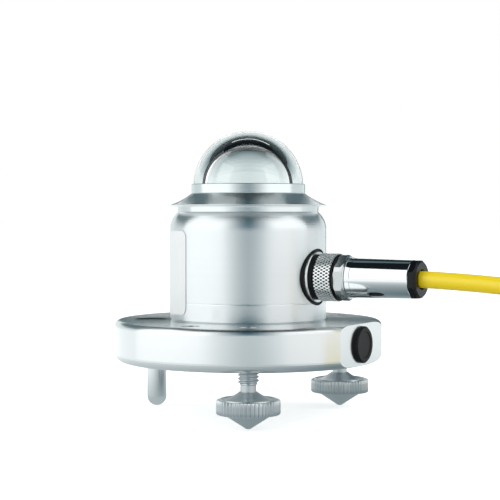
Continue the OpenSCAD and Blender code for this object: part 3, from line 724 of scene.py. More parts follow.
def rounded_outline(
    points: Sequence[tuple[float, float, float]], steps: int = 5
) -> list[tuple[float, float]]:
    """Rounds the corners of an outline: each is a quadratic curve that meets both sides smoothly.

    Args:
        points: (r, h, radius of the corner) in millimetres.
        steps: pieces of one curve.

    Returns:
        The outline as (r, h) pairs.
    """
    xy = np.asarray([p[:2] for p in points], dtype=float)
    out: list[tuple[float, float]] = []
    for i, (x, y, radius) in enumerate(points):
        if radius <= 0 or i in (0, len(points) - 1):
            out.append((x, y))
            continue
        before, after = xy[i - 1] - xy[i], xy[i + 1] - xy[i]
        reach_in, reach_out = np.linalg.norm(before), np.linalg.norm(after)
        before, after = before / reach_in, after / reach_out
        half = math.acos(float(np.clip(before @ after, -1, 1))) / 2
        reach = min(radius / math.tan(half), 0.49 * reach_in, 0.49 * reach_out)
        start, end = xy[i] + before * reach, xy[i] + after * reach
        for s in np.linspace(0, 1, steps + 1):
            p = (1 - s) ** 2 * start + 2 * s * (1 - s) * xy[i] + s**2 * end
            out.append((float(p[0]), float(p[1])))
    return out


def smooth_path(points: Sequence[Sequence[float]], parts: int) -> np.ndarray:
    """Catmull-Rom curve through points: each span is the usual cubic of its four neighbours.

    Args:
        points: the route.
        parts: pieces of one span.

    Returns:
        Array (n, 3), in the route's units.
    """
    p = np.asarray(points, dtype=float)
    padded = np.vstack([2 * p[0] - p[1], p, 2 * p[-1] - p[-2]])
    t = np.linspace(0, 1, parts, endpoint=False)[:, None]
    spans = []
    for a, b, c, d in zip(padded, padded[1:], padded[2:], padded[3:]):
        square, cube = 2 * a - 5 * b + 4 * c - d, 3 * b - a - 3 * c + d
        spans.append(0.5 * (2 * b + (c - a) * t + square * t**2 + cube * t**3))
    return np.vstack([*spans, p[-1:]])


def tube_points(path: np.ndarray, radius: float, sides: int) -> np.ndarray:
    """Rings of a round tube: each ring lies square to the path, its first axis level.

    Args:
        path: array (n, 3).
        radius: the tube's radius, in the path's units.
        sides: points in one ring.

    Returns:
        Array (n, sides, 3).
    """
    way = np.gradient(path, axis=0)
    way /= np.linalg.norm(way, axis=1, keepdims=True)
    side = np.cross(UP, way)
    side /= np.linalg.norm(side, axis=1, keepdims=True)
    rise = np.cross(way, side)
    turn = np.linspace(0, 2 * np.pi, sides, endpoint=False)[None, :, None]
    return path[:, None] + radius * (np.cos(turn) * side[:, None] + np.sin(turn) * rise[:, None])


def turn_outwards(piece: bpy.types.Object) -> None:
    """Joins double points of a closed piece and turns its faces outwards.

    Args:
        piece: the piece.
    """
    work = bmesh.new()
    work.from_mesh(piece.data)
    bmesh.ops.remove_doubles(work, verts=work.verts, dist=1e-7)
    bmesh.ops.recalc_face_normals(work, faces=work.faces)
    work.to_mesh(piece.data)
    work.free()
    piece.data.update()


# ------------------------------------------------------------------ sub-assemblies


def dress(node: str, material: bpy.types.Material) -> None:
    """Gives a node of the frame its finish.

    Args:
        node: the node's name.
        material: its finish.
    """
    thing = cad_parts[node]
    if not thing.material_slots:
        thing.data.materials.append(material)
    for place in thing.material_slots:
        place.material = material
    LOG.info("node %s has the finish %s", node, material.name)


def seat(piece: bpy.types.Object, body: Body, nodes: Sequence[str] = ()) -> None:
    """Rides a new piece on its body and hides the nodes that it stands for.

    Args:
        piece: the new piece.
        body: the body that it moves with.
        nodes: nodes that it replaces.
    """
    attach(piece, body.value)
    if nodes:
        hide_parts(*nodes)
    LOG.info("piece %s rides on %s: %d faces", piece.name, body.value, len(piece.data.polygons))


@dataclass(frozen=True)
class Card:
    """A curved card: degrees from the camera's direction and above the horizon, metres away."""

    name: str
    swing: tuple[float, float]
    lift: tuple[float, float]
    far: float
    colour: Colour
    seen: Seen = Seen.BOTH


BRIGHT: Colour = (1.32, 1.35, 1.35)
DARK: Colour = (0.006, 0.009, 0.011)
GREY: Colour = (0.11, 0.165, 0.18)
PAPER: Colour = (0.72, 0.78, 0.79)

CARDS = (
    Card("soft box right", (40, 96), (-8, 54), 1.3, BRIGHT),
    Card("soft box left", (-108, -40), (-8, 54), 1.3, BRIGHT),
    Card("right reflector", (96, 140), (-8, 14), 1.3, PAPER, Seen.METAL),
    Card("left reflector", (-140, -108), (-8, 14), 1.3, PAPER, Seen.METAL),
    Card("right wall", (96, 170), (14, 54), 1.3, GREY, Seen.METAL),
    Card("left wall", (-140, -108), (14, 54), 1.3, GREY, Seen.METAL),
    Card("rear wall", (191, 220), (14, 54), 1.3, GREY, Seen.METAL),
    Card("rear peak", (150, 210), (54, 66), 1.3, GREY, Seen.METAL),
    Card("rear gap", (170, 191), (23, 54), 1.3, (0.02, 0.03, 0.035), Seen.METAL),
    Card("rear line", (168, 191), (13, 23), 1.25, BRIGHT, Seen.METAL),
    Card("rear edge", (160, 191), (-8, 12), 1.25, (0.10, 0.14, 0.15), Seen.METAL),
    Card("right surround", (96, 119), (-8, 60), 1.32, BRIGHT, Seen.GLASS),
    Card("left surround", (-126, -108), (-8, 60), 1.32, BRIGHT, Seen.GLASS),
    Card("right edge", (119, 132), (-4, 60), 1.32, DARK, Seen.GLASS),
    Card("left edge", (-139, -126), (-4, 60), 1.32, DARK, Seen.GLASS),
    Card("rear ceiling", (132, 221), (22, 60), 1.34, DARK, Seen.GLASS),
    Card("rear lamp", (158, 196), (36.5, 38.5), 1.2, (1.2, 1.25, 1.25), Seen.GLASS),
    Card("ceiling", (-180, 180), (54, 89.5), 1.35, (0.008, 0.012, 0.014)),
    Card("rear paper", (132, 221), (-4, 14), 1.36, (0.80, 0.88, 0.88)),
)


def between(first: Colour, second: Colour, share: float) -> Colour:
    """Colour that lies a share of the way from the first to the second."""
    return tuple(a + (b - a) * share for a, b in zip(first, second))


def fading_cards(steps: int = 8) -> list[Card]:
    """Rows of narrow cards that make soft changes: the front for all, the rear for glass.

    Args:
        steps: cards in a row.

    Returns:
        The cards.
    """
    front_swing, front_middle = 5, (0.03, 0.12, 0.16)
    rear_low, rear_lift, rear_top = 6, 2, (0.14, 0.21, 0.23)
    cards = []
    for step in range(steps):
        shade = between(front_middle, BRIGHT, ((step + 0.5) / steps) ** 1.5)
        for side in (-1, 1):
            edges = sorted(side * front_swing * place for place in (step, step + 1))
            cards.append(Card(f"front card {side * (step + 1)}", edges, (-8, 54), 1.3, shade))
    for step in range(steps):
        low = rear_low + rear_lift * step
        shade = between((0.70, 0.78, 0.79), rear_top, step / (steps - 1))
        lift = (low, low + rear_lift)
        cards.append(Card(f"rear shade {step}", (132, 221), lift, 1.34, shade, Seen.GLASS))
    return cards


@dataclass
class Studio:
    """Camera, floor, lamps and the cards that the metal and the glass mirror."""

    distance: float = 418.0
    height: float = 59.1
    azimuth: float = -60.0
    focal_px: float = 1393.0
    frame_px: float = 500.0
    axis_px: float = 248.3
    horizon_px: float = 216.0
    sensor: float = 36.0
    floor_half: float = 6.0
    floor_low: float = -0.0002
    card_steps: int = 48

    def camera(self) -> None:
        """Places the camera where the photograph was taken from."""
        data = bpy.data.cameras.new("camera")
        data.sensor_width = self.sensor
        data.lens = self.sensor * self.focal_px / self.frame_px
        data.clip_start, data.clip_end = 0.01, 20.0
        camera = place_object("camera", data)
        turn = math.radians(self.azimuth)
        place = Vector((math.cos(turn), math.sin(turn), 0)) * self.distance * MM
        place.z = self.height * MM
        centre = self.frame_px / 2
        yaw = math.atan((centre - self.axis_px) / self.focal_px)
        pitch = math.atan((centre - self.horizon_px) / self.focal_px)
        look = turn + math.pi - yaw
        level = math.cos(pitch)
        way = Vector((math.cos(look) * level, math.sin(look) * level, -math.sin(pitch)))
        camera.location = place
        camera.rotation_euler = way.to_track_quat("-Z", "Y").to_euler()
        bpy.context.scene.camera = camera

    def toward(self, swing: float, lift: float, far: float) -> Vector:
        """Point seen from the dome at an angle from the camera's direction.

        Args:
            swing: degrees to the camera's right, counted from the camera.
            lift: degrees above the horizon.
            far: distance in metres.

        Returns:
            The point.
        """
        turn, rise = math.radians(self.azimuth + swing), math.radians(lift)
        level = math.cos(rise)
        way = Vector((math.cos(turn) * level, math.sin(turn) * level, math.sin(rise)))
        return way * far + Vector((0, 0, self.height * MM))

    def lamp(self, name: str, swing: float) -> None:
        """Hangs a soft box that faces the object.

        Args:
            name: its name.
            swing: degrees from the camera's direction.
        """
        lift, far = 22.0, 0.9
        light = bpy.data.lights.new(name, "AREA")
        light.shape = "RECTANGLE"
        light.size, light.size_y = 0.62, 0.8
        light.energy = 3.0
        lamp = place_object(name, light)
        lamp.location = self.toward(swing, lift, far)
        aim = Vector((0, 0, self.height * MM)) - lamp.location
        lamp.rotation_euler = aim.to_track_quat("-Z", "Y").to_euler()
        lamp.visible_camera = lamp.visible_glossy = False

    def place_card(self, card: Card) -> None:
        """Hangs a curved card that only mirrors and glass see.

        Args:
            card: the card.
        """
        turn = np.radians(self.azimuth + np.linspace(*card.swing, self.card_steps))[None, :]
        rise = np.radians(np.linspace(*card.lift, self.card_steps // 2))[:, None]
        level = np.cos(rise)
        way = [np.cos(turn) * level, np.sin(turn) * level, np.sin(rise) + 0 * turn]
        points = np.stack(way, axis=-1) * card.far + UP * self.height * MM
        sheet = self.hang(card.name, points, card.colour)
        sheet.visible_glossy = card.seen is not Seen.GLASS
        sheet.visible_transmission = card.seen is not Seen.METAL

    def coil_screen(self) -> None:
        """Stands a white screen between the stored coil and the object, for mirrors alone."""
        y, z = np.meshgrid(np.linspace(-60, 75, 3) * MM, np.linspace(0.5, 62, 3) * MM)
        points = np.stack([0 * y + 88 * MM, y, z], axis=-1)
        self.hang("coil screen", points, (0.95, 0.97, 0.97)).visible_transmission = False

    def under_sheet(self) -> None:
        """Lays a glowing sheet under the object for metal alone, with a painted shadow: darkest under
        the connector.
        """
        middle, fade = (-0.045, 0.0, 0.0), 5.0
        x, y = np.meshgrid(*[np.linspace(-0.6, 0.6, 3)] * 2)
        sheet = self.hang("under card", np.stack([x, y, 0 * x - 0.0001], axis=-1), PAPER)
        sheet.visible_transmission = False
        tree = sheet.data.materials[0].node_tree
        pen = NodePen(tree)
        place = pen.put("ShaderNodeMapping")
        place.inputs["Location"].default_value = middle
        pen.join(pen.put("ShaderNodeTexCoord").outputs["Object"], place.inputs["Vector"])
        away = pen.put("ShaderNodeVectorMath", operation="LENGTH")
        pen.join(place.outputs[0], away.inputs[0])
        share = pen.maths("MULTIPLY", away.outputs["Value"], fade, clamp=True)
        glow = next(n for n in tree.nodes if n.type == "EMISSION")
        # painted shadow: dark in the middle and pale further out, as the mirrored floor looks in the
        # object's shadow
        shade = pen.blend(share, (0.13, 0.19, 0.21), (1.12, 1.16, 1.16))
        pen.join(shade, glow.inputs["Color"])

    def hang(self, name: str, points: np.ndarray, colour: Colour) -> bpy.types.Object:
        """Makes a glowing sheet through a grid of points, which the camera doesn't see.

        Args:
            name: its name.
            points: array (rows, columns, 3) in metres.
            colour: what it shows.

        Returns:
            The sheet.
        """
        rows, columns, _ = points.shape
        i, j = np.meshgrid(np.arange(rows - 1), np.arange(columns - 1), indexing="ij")
        base = i * columns + j
        corners = [base, base + 1, base + columns + 1, base + columns]
        mesh = bpy.data.meshes.new(name)
        quads = np.stack(corners, axis=-1).reshape(-1, 4)
        mesh.from_pydata(points.reshape(-1, 3).tolist(), [], quads.tolist())
        mesh.update()
        material = bpy.data.materials.new(name)
        pen = fresh_pen(material)
        glow = pen.put("ShaderNodeEmission")
        pen.feed(glow.inputs["Color"], colour)
        out = pen.put("ShaderNodeOutputMaterial")
        pen.join(glow.outputs[0], out.inputs["Surface"])
        mesh.materials.append(material)
        sheet = place_object(name, mesh)
        sheet.visible_camera = sheet.visible_diffuse = sheet.visible_shadow = False
        return sheet

    def floor(self) -> None:
        """Lays the pale floor, which stays white for the camera but keeps the shadow."""
        mesh = bpy.data.meshes.new("floor")
        r, low = self.floor_half, self.floor_low
        corners = [(-r, -r, low), (r, -r, low), (r, r, low), (-r, r, low)]
        mesh.from_pydata(corners, [], [(0, 1, 2, 3)])
        mesh.update()
        material = bpy.data.materials.new("pale floor")
        pen = fresh_pen(material)
        matt = pen.put("ShaderNodeBsdfDiffuse")
        pen.feed(matt.inputs["Color"], (0.86, 0.87, 0.87))
        glow = pen.put("ShaderNodeEmission")
        path = pen.put("ShaderNodeLightPath")
        rays = (path.outputs["Is Camera Ray"], path.outputs["Is Transmission Ray"])
        seen = pen.maths("ADD", *rays, clamp=True)
        glow_strength = 0.6
        pen.join(pen.maths("MULTIPLY", seen, glow_strength), glow.inputs["Strength"])
        add = pen.put("ShaderNodeAddShader")
        pen.join(matt.outputs[0], add.inputs[0])
        pen.join(glow.outputs[0], add.inputs[1])
        out = pen.put("ShaderNodeOutputMaterial")
        pen.join(add.outputs[0], out.inputs["Surface"])
        mesh.materials.append(material)
        place_object("floor", mesh)

    def world(self) -> None:
        """White where the camera, mirrors and glass look, and plain soft light otherwise."""
        world = bpy.data.worlds.new("studio")
        pen = fresh_pen(world)
        path = pen.put("ShaderNodeLightPath")
        rays = (path.outputs["Is Camera Ray"], path.outputs["Is Glossy Ray"])
        seen = pen.maths("ADD", *rays, clamp=True)
        seen = pen.maths("ADD", seen, path.outputs["Is Transmission Ray"], clamp=True)
        soft = 0.75
        strength = pen.maths("ADD", pen.maths("MULTIPLY", seen, 1 - soft), soft)
        sky = pen.put("ShaderNodeBackground")
        pen.feed(sky.inputs["Color"], (1.0, 1.0, 1.0))
        pen.join(strength, sky.inputs["Strength"])
        out = pen.put("ShaderNodeOutputWorld")
        pen.join(sky.outputs[0], out.inputs["Surface"])
        bpy.context.scene.world = world

    def build(self) -> None:
        """Sets up everything around the object."""
        self.camera()
        self.floor()
        self.world()
        self.lamp("key lamp left", -68)
        self.lamp("key lamp right", 68)
        for card in (*fading_cards(), *CARDS):
            self.place_card(card)
        self.under_sheet()
        self.coil_screen()
        bpy.context.scene.view_settings.view_transform = "Standard"


@dataclass
class CableRun:
    """The yellow cable: its lead, its coil of 22 turns, its bare cores and the coil's ties."""

    diameter: float = 4.8
    jacket_x: float = 42.56
    seal_end_x: float = 51.96
    clamp_end_x: float = 56.26
    axis_z: float = 41.3
    route: list[tuple[float, float, float]] = field(
        default_factory=lambda: [
            (62, 0, 41.1), (70, 0, 40.7), (79, 0, 40.1), (86.1, -1.2, 39.5), (92.4, -4.6, 38.2),
            (97.3, -9.9, 36), (100.2, -16.5, 33.2), (100.7, -23.7, 30.1), (101.5, -31.7, 26.5),
            (105.1, -38.9, 23.2), (111.1, -44.2, 20.4), (118.6, -47.1, 18.6),
        ]
    )
    coil_place: tuple[float, float] = (136.5, 0.0)
    coil_inner_r: float = 20.6
    coil_gap: float = 0.42
    coil_layers: int = 4
    coil_steps: int = 24
    coil_turns: float = 22 + 2 / 24
    coil_start: float = -100.0
    coil_climb: float = 0.5
    core_length: float = 30.0
    core_r: float = 0.75
    strand_r: float = 0.5
    bared: float = 8.0
    tie_angles: tuple[float, float, float] = (20.0, 140.0, 262.0)
    tie_half: float = 3.0
    tie_thick: float = 0.7

    def coil_line(self) -> np.ndarray:
        """The coil's centreline: a flat spiral out and in, one layer below the other.

        Returns:
            Array (n, 3) in millimetres.
        """
        pitch = self.diameter + self.coil_gap
        layer_turns = self.coil_turns / self.coil_layers
        outer = self.coil_inner_r + pitch * layer_turns
        top = self.diameter / 2 + pitch * (self.coil_layers - 1)
        count = round(self.coil_turns * self.coil_steps)
        turn = np.arange(count + 1) / self.coil_steps
        wave = turn % (2 * layer_turns)
        folded = np.where(wave <= layer_turns, wave, 2 * layer_turns - wave)
        down = np.zeros_like(turn)
        for layer in range(1, self.coil_layers):
            c = np.clip((turn - layer * layer_turns) / self.coil_climb + 0.5, 0, 1)
            down += c * c * (3 - 2 * c)
        t = np.radians(self.coil_start + 360 * turn)
        r = outer - pitch * folded
        x, y = self.coil_place
        return np.stack([x + r * np.cos(t), y + r * np.sin(t), top - pitch * down], axis=-1)

    def heading(self, turn: float) -> np.ndarray:
        """Level direction of the cable at a turn of the coil."""
        t = math.radians(self.coil_start + 360 * turn)
        return np.array([-math.sin(t), math.cos(t), 0.0])

    def centreline(self) -> np.ndarray:
        """The whole cable's centreline, from inside the plug to the end of its jacket.

        Returns:
            Array (n, 3) in millimetres.
        """
        coil = self.coil_line()
        first = coil[0] - self.diameter * self.heading(0)
        last = coil[-1] + self.diameter * self.heading(self.coil_turns)
        inside = [(x, 0.0, self.axis_z) for x in (self.jacket_x, self.seal_end_x, self.clamp_end_x)]
        return np.vstack([inside, self.route, first, coil, last])

    def build(
        self,
        jacket: bpy.types.Material,
        tie: bpy.types.Material,
        core_skins: list[bpy.types.Material],
        tinned: bpy.types.Material,
    ) -> None:
        """Args:
            jacket: finish of the yellow jacket.
            tie: finish of the ties.
            core_skins: finishes of the four cores.
            tinned: finish of the cores' tinned ends.
        """
        line = self.centreline()
        path = smooth_path(line, 2) * MM
        rings = tube_points(path, self.diameter / 2 * MM, 18)
        piece = piece_from_grid("cable_jacket", rings, Ends.CAPPED, jacket, 60)
        seat(piece, Body.PLUG, ["cable_lead", "cable_coil"])
        cores = self.cores(line[-1], core_skins, tinned)
        ties = self.ties(tie)

    def cores(
        self, end: np.ndarray, skins: list[bpy.types.Material], tinned: bpy.types.Material
    ) -> bpy.types.Object:
        """Four bare cores that come straight out of the jacket's end.

        Args:
            end: end of the jacket's centreline.
            skins: four finishes.
            tinned: finish of the tinned tips.

        Returns:
            The piece.
        """
        way = self.heading(self.coil_turns)
        side = np.cross(UP, way)
        skin_end = self.core_length - self.bared
        apart = 1.05 * math.sqrt(2)
        made = []
        for number, skin in enumerate(skins):
            angle = math.radians(45 + 90 * number)
            off = apart * (math.cos(angle) * side + math.sin(angle) * UP)
            tip = (skin_end - 0.5, skin_end + 4, self.core_length)
            lines = (
                (f"core_{number}", (-1.0, 2, 8, 15, skin_end), self.core_r, 12, skin),
                (f"tip_{number}", tip, self.strand_r, 10, tinned),
            )
            for name, reaches, radius, sides, material in lines:
                path = np.array([end + off + way * reach for reach in reaches])
                rings = tube_points(path * MM, radius * MM, sides)
                made.append(piece_from_grid(name, rings, Ends.CAPPED, material, 60))
        piece = join_pieces("bare_cores", made)
        seat(piece, Body.PLUG, ["cable_end_cores"])
        return piece

    def ties(self, material: bpy.types.Material) -> bpy.types.Object:
        """Three straps round the coil's bundle: a rounded rectangle carried along a short arc.

        Args:
            material: their finish.

        Returns:
            The piece.
        """
        pitch = self.diameter + self.coil_gap
        inner = self.coil_inner_r - self.diameter / 2 - 0.15
        wound = pitch * self.coil_turns / self.coil_layers
        outer = self.coil_inner_r + wound + self.diameter / 2 + 0.15
        top = pitch * (self.coil_layers - 1) + self.diameter + 0.1
        low, corner, middle = 0.05, 2.2, inner + 9
        outline = rounded_outline(
            [
                (middle, low, 0), (inner, low, corner), (inner, top, corner),
                (outer, top, corner), (outer, low, corner), (middle, low, 0),
            ],
            6,
        )
        loop = np.asarray(outline[:-1])
        normal = np.roll(loop, -1, axis=0) - np.roll(loop, 1, axis=0)
        normal = np.stack([normal[:, 1], -normal[:, 0]], axis=-1)
        normal /= np.linalg.norm(normal, axis=1, keepdims=True)
        if np.sum(normal * (loop - loop.mean(axis=0))) < 0:
            normal = -normal
        rise = np.where(loop[:, 1:2] < 1.0, 0.0, 1.0)  # the bottom stays flat on the floor
        outside = loop + normal * self.tie_thick * np.hstack([np.ones_like(rise), rise])
        half = self.tie_half
        section = [(loop, -half), (outside, -half), (outside, half), (loop, half)]
        place = np.array([*self.coil_place, 0.0])
        made = []
        for number, angle in enumerate(self.tie_angles):
            turn = math.radians(angle)
            along = np.array([-math.sin(turn), math.cos(turn), 0.0])
            away = np.array([math.cos(turn), math.sin(turn), 0.0])
            lines = [place + o[:, :1] * away + o[:, 1:] * UP + s * along for o, s in section]
            rings = np.stack(lines, axis=1) * MM
            made.append(piece_from_grid(f"tie_{number}", rings, Ends.JOINED, material, 35))
        piece = join_pieces("coil_ties", made)
        turn_outwards(piece)
        seat(piece, Body.PLUG)
        return piece


@dataclass
class LevellingScrew:
    """A levelling screw: threaded stud with a polished neck, and its knurled wheel."""

    place: tuple[float, float]
    wheel_d: float = 17.9
    band: tuple[float, float] = (4.2, 8.2)
    hub_h: float = 2.2
    neck_d: float = 4.44
    neck_socket: float = 5.4
    neck_h: float = 1.9
    thread_d: float = 5.9
    thread_pitch: float = 1.0
    thread_depth: float = 0.55
    stud_top: float = 23.5
    thread_fade: float = 0.8
    rings_per_mm: int = 14
    ridges: int = 50
    ridge_depth: float = 0.45

    def stud_points(self) -> np.ndarray:
        """Stud surface: the radius is the thread's wave of (height / pitch - turn).

        The wave fades out at both ends.

        Returns:
            Array (rows, columns, 3) in metres.
        """
        neck, crest = self.neck_d / 2, self.thread_d / 2
        start = self.band[1] + self.hub_h + self.neck_h
        low = np.array([self.neck_socket, start - 0.35, start - 0.05])
        count = int((self.stud_top - start) * self.rings_per_mm)
        threads = np.linspace(start, self.stud_top - 0.3, count)
        z = np.concatenate([low, threads, [self.stud_top]])[:, None]
        turn = np.linspace(0, 2 * np.pi, 48, endpoint=False)[None, :]
        phase = (z / self.thread_pitch - turn / (2 * np.pi)) % 1.0
        wave = np.clip(1.25 - 2.9 * np.abs(phase - 0.5), 0.0, 1.0)
        rise = np.clip((z - start) / self.thread_fade, 0, 1)
        fall = np.clip((self.stud_top - z) / self.thread_fade, 0, 1)
        ridge = crest - self.thread_depth * (1 - wave)
        r = np.where(z < start, neck, neck + (ridge - neck) * rise)
        r = np.minimum(r, neck - 0.2 + (crest - neck + 0.2) * fall + 0 * r)
        return self.placed(r, turn, z)

    def placed(self, r: np.ndarray, turn: np.ndarray, z: np.ndarray) -> np.ndarray:
        """Points about the screw's axis.

        Args:
            r: radii in millimetres.
            turn: angles in radians.
            z: heights in millimetres.

        Returns:
            Array (rows, columns, 3) in metres.
        """
        x = self.place[0] + r * np.cos(turn)
        y = self.place[1] + r * np.sin(turn)
        return np.stack([x, y, z + 0 * x], axis=-1) * MM

    def wheel_points(self) -> np.ndarray:
        """Wheel surface: a turned outline whose rim carries rounded ridges.

        Returns:
            Array (rows, columns, 3) in metres.
        """
        out, neck = self.wheel_d / 2, self.neck_d / 2
        low, high = self.band
        top = high + self.hub_h
        hub_r, cone_r = neck + 0.4, out * 0.77
        mid_r = hub_r + 0.42 * (cone_r - hub_r)
        # the rounded point and the lower cone
        outline = [(0.0, 0.0), (0.36, 0.02), (0.75, 0.14), (1.2, 0.48)]
        for s in (0.33, 0.66, 1.0):
            outline.append((1.2 + (out * 0.737 - 1.2) * s, 0.48 + (low - 0.24 - 0.48) * s))
        outline += [(out * 0.745, low), (out * 0.9, low)]
        # the knurled band
        band = [(out - 0.3, low + 0.02), (out - 0.1, low + 0.14), (out, low + 0.4)]
        band += [(out, low + 0.4 + (high - low - 0.8) * s) for s in (0.25, 0.5, 0.75, 1.0)]
        band += [(out - 0.1, high - 0.14), (out - 0.3, high - 0.02)]
        first = len(outline)
        outline += band
        # the raised rim and the hollow upper cone
        outline += [(out * 0.9, high), (out * 0.9 - 0.2, high + 0.3), (out * 0.9 - 0.45, high + 0.35)]
        outline += [(cone_r + 0.3, high + 0.33), (cone_r, high + 0.12)]
        a, b = np.array([cone_r, high + 0.12]), np.array([mid_r, high + 0.28 * self.hub_h])
        c = np.array([hub_r, top])
        for s in np.linspace(0.15, 1, 6):
            outline.append(tuple((1 - s) ** 2 * a + 2 * s * (1 - s) * b + s**2 * c))
        # the hub and the socket for the neck
        socket_r = neck + 0.05
        outline += [(hub_r - 0.12, top + 0.02), (socket_r, top)]
        outline += [(socket_r, self.neck_socket), (0.0, self.neck_socket)]
        shape = np.asarray(outline)
        columns = self.ridges * 8
        turn = np.linspace(0, 2 * np.pi, columns, endpoint=False)[None, :]
        r, z = shape[:, :1], shape[:, 1:]
        depth = np.zeros(len(outline))
        depth[first + 1 : first + len(band) - 1] = self.ridge_depth
        depth[first] = depth[first + len(band) - 1] = self.ridge_depth * 0.45
        wave = np.abs(np.sin(self.ridges * turn / 2)) ** 1.3
        return self.placed(np.maximum(r - depth[:, None] * wave, 0.0), turn, z)

    def build(self, name: str, steel: bpy.types.Material) -> None:
        """Makes the stud and the wheel.

        Args:
            name: first word of the names of the pieces, bodies and nodes.
            steel: their finish.
        """
        stud_name, wheel_name = f"{name}_threaded_stud", f"{name}_knurled_wheel"
        stud = piece_from_grid(stud_name, self.stud_points(), Ends.CAPPED, steel, 50)
        seat(stud, Body(f"{name}_stud"), [f"{name}_levelling_stud"])
        wheel = piece_from_grid(wheel_name, self.wheel_points(), Ends.OPEN, steel, 38)
        turn_outwards(wheel)
        seat(wheel, Body(f"{name}_wheel"), [f"{name}_thumbwheel"])


@dataclass
class Plug:
    """Cable connector: knurled coupling ring, wrench nut, chromed shell and clamp cap."""

    axis_z: float = 41.3
    ring_x: tuple[float, float] = (25.1, 30.8)
    ring_r: float = 7.0
    ring_bore_r: float = 6.1
    lip_bore_r: float = 5.05
    lip: float = 0.6
    diamonds: int = 45
    rows: int = 6
    depth: float = 0.5
    land: float = 0.3
    grid_steps: int = 12
    shell_x: tuple[float, float] = (34.46, 53.96)
    shell_r: tuple[float, float] = (5.8, 5.45)
    shell_wall: float = 0.6

    def ring_points(self) -> np.ndarray:
        """Coupling ring: pits in a staggered lattice, where two slanting waves are both low.

        Returns:
            Array (rows, columns, 3) in metres.
        """
        (start, end), land, steps = self.ring_x, self.land, self.grid_steps
        turn = np.linspace(0, 2 * np.pi, self.diamonds * steps, endpoint=False)[None, :]
        x = np.linspace(start + land, end - land, self.rows * steps + 1)[:, None]
        pitch = (end - start - 2 * land) / self.rows * 2
        u = self.diamonds * turn / (2 * np.pi)
        v = (x - start - land) / pitch
        first, second = (np.abs(wave % 1.0 - 0.5) for wave in (u + v, u - v))
        groove = np.clip(1.6 - 4.6 * np.hypot(first, second), 0, 1)
        r = self.ring_r - self.depth * groove
        knurl = np.stack([x + 0 * r, r * np.cos(turn), r * np.sin(turn)], axis=-1)

        def hoop(radius: float, at: float) -> np.ndarray:
            """One plain ring of points, at a place along the axis."""
            return np.stack([at + 0 * turn, radius * np.cos(turn), radius * np.sin(turn)], axis=-1)

        r_low = self.ring_r - self.depth
        lip = end - self.lip
        before = [(self.ring_bore_r, start), (r_low - 0.15, start), (r_low, start + 0.12)]
        after = [(r_low, end - 0.12), (r_low - 0.15, end), (self.lip_bore_r, end)]
        after += [(self.lip_bore_r, lip), (self.ring_bore_r, lip)]
        before, after = [hoop(*p) for p in before], [hoop(*p) for p in after]
        whole = np.concatenate([*before, knurl, *after], axis=0)
        return (whole + np.array([0, 0, self.axis_z])) * MM

    def shell_points(self) -> np.ndarray:
        """Chromed shell: a long cone with a rounded step at the nut and a rounded end.

        Returns:
            Array (rows, columns, 3) in metres.
        """
        (start, end), (wide, narrow) = self.shell_x, self.shell_r
        bore, inside = 4.9, narrow - self.shell_wall
        outline = rounded_outline(
            [
                (bore, start, 0), (wide, start, 0.25), (wide, start + 1.6, 0.1),
                (wide - 0.06, start + 1.7, 0.1), (narrow, end, 0.6), (inside, end, 0.1),
                (inside, start + 5.5, 0.1), (bore, start + 5.45, 0.05),
            ]
        )
        return turned_points(outline, (0, 0, self.axis_z), Axis.X, 96)

    def build(self, knurled: bpy.types.Material, chrome: bpy.types.Material) -> None:
        """Makes the coupling ring and the shell.

        Args:
            knurled: finish of the ring.
            chrome: finish of the shell.
        """
        ring = piece_from_grid("knurled_coupling_ring", self.ring_points(), Ends.JOINED, knurled, 42)
        turn_outwards(ring)
        seat(ring, Body.RING, ["coupling_ring"])
        shell = piece_from_grid("chromed_shell", self.shell_points(), Ends.JOINED, chrome, 30)
        turn_outwards(shell)
        seat(shell, Body.PLUG, ["plug_shell"])


@dataclass
class DomeGlass:
    """The thick glass dome: two half spheres that share a centre, on a short straight rim."""

    outer_r: float = 16.4
    wall: float = 4.0
    rim_z: float = 65.1
    centre_z: float = 68.1
    foot_edge: float = 0.2
    columns: int = 160

    def profiles(self) -> tuple[np.ndarray, np.ndarray]:
        """Outlines of the two skins.

        Returns:
            The outside from the rim to the pole, and the inside from the pole to the rim,
            as (r, h) pairs in millimetres.
        """
        outer, inner = self.outer_r, self.outer_r - self.wall
        rim, centre = self.rim_z, self.centre_z
        up = np.radians(np.linspace(0, 89.6, 56))
        out = np.stack([outer * np.cos(up), centre + outer * np.sin(up)], axis=-1)
        back = np.stack([inner * np.cos(up), centre + inner * np.sin(up)], axis=-1)[::-1]
        foot = [(outer - self.foot_edge, rim), (outer, rim + 0.2), (outer, rim + 0.8)]
        foot.append((outer, centre - 0.8))
        end = [(inner, centre - 0.8), (inner, rim + 0.4), (inner, rim), (inner + self.foot_edge, rim)]
        outside = np.concatenate([np.array(foot), out, [[0.0, centre + outer]]])
        inside = np.concatenate([[[0.0, centre + inner]], back, np.array(end)])
        return outside, inside

    def build(self, glass: bpy.types.Material) -> None:
        """Makes the dome.

        Args:
            glass: its finish.
        """
        outside, inside = self.profiles()
        foot = [inside[-1], outside[0]]
        skins = []
        for name, outline in (("dome_outside", outside), ("dome_inside", inside), ("dome_foot", foot)):
            rings = turned_points(outline, (0, 0, 0), Axis.Z, self.columns)
            skins.append(piece_from_grid(name, rings, Ends.OPEN, glass, 60))
        dome = join_pieces("clear_dome", skins)
        turn_outwards(dome)
        dome.data.shade_smooth()
        dome.data.set_sharp_from_angle(angle=math.radians(40))
        seat(dome, Body.HOUSING, ["glass_dome"])


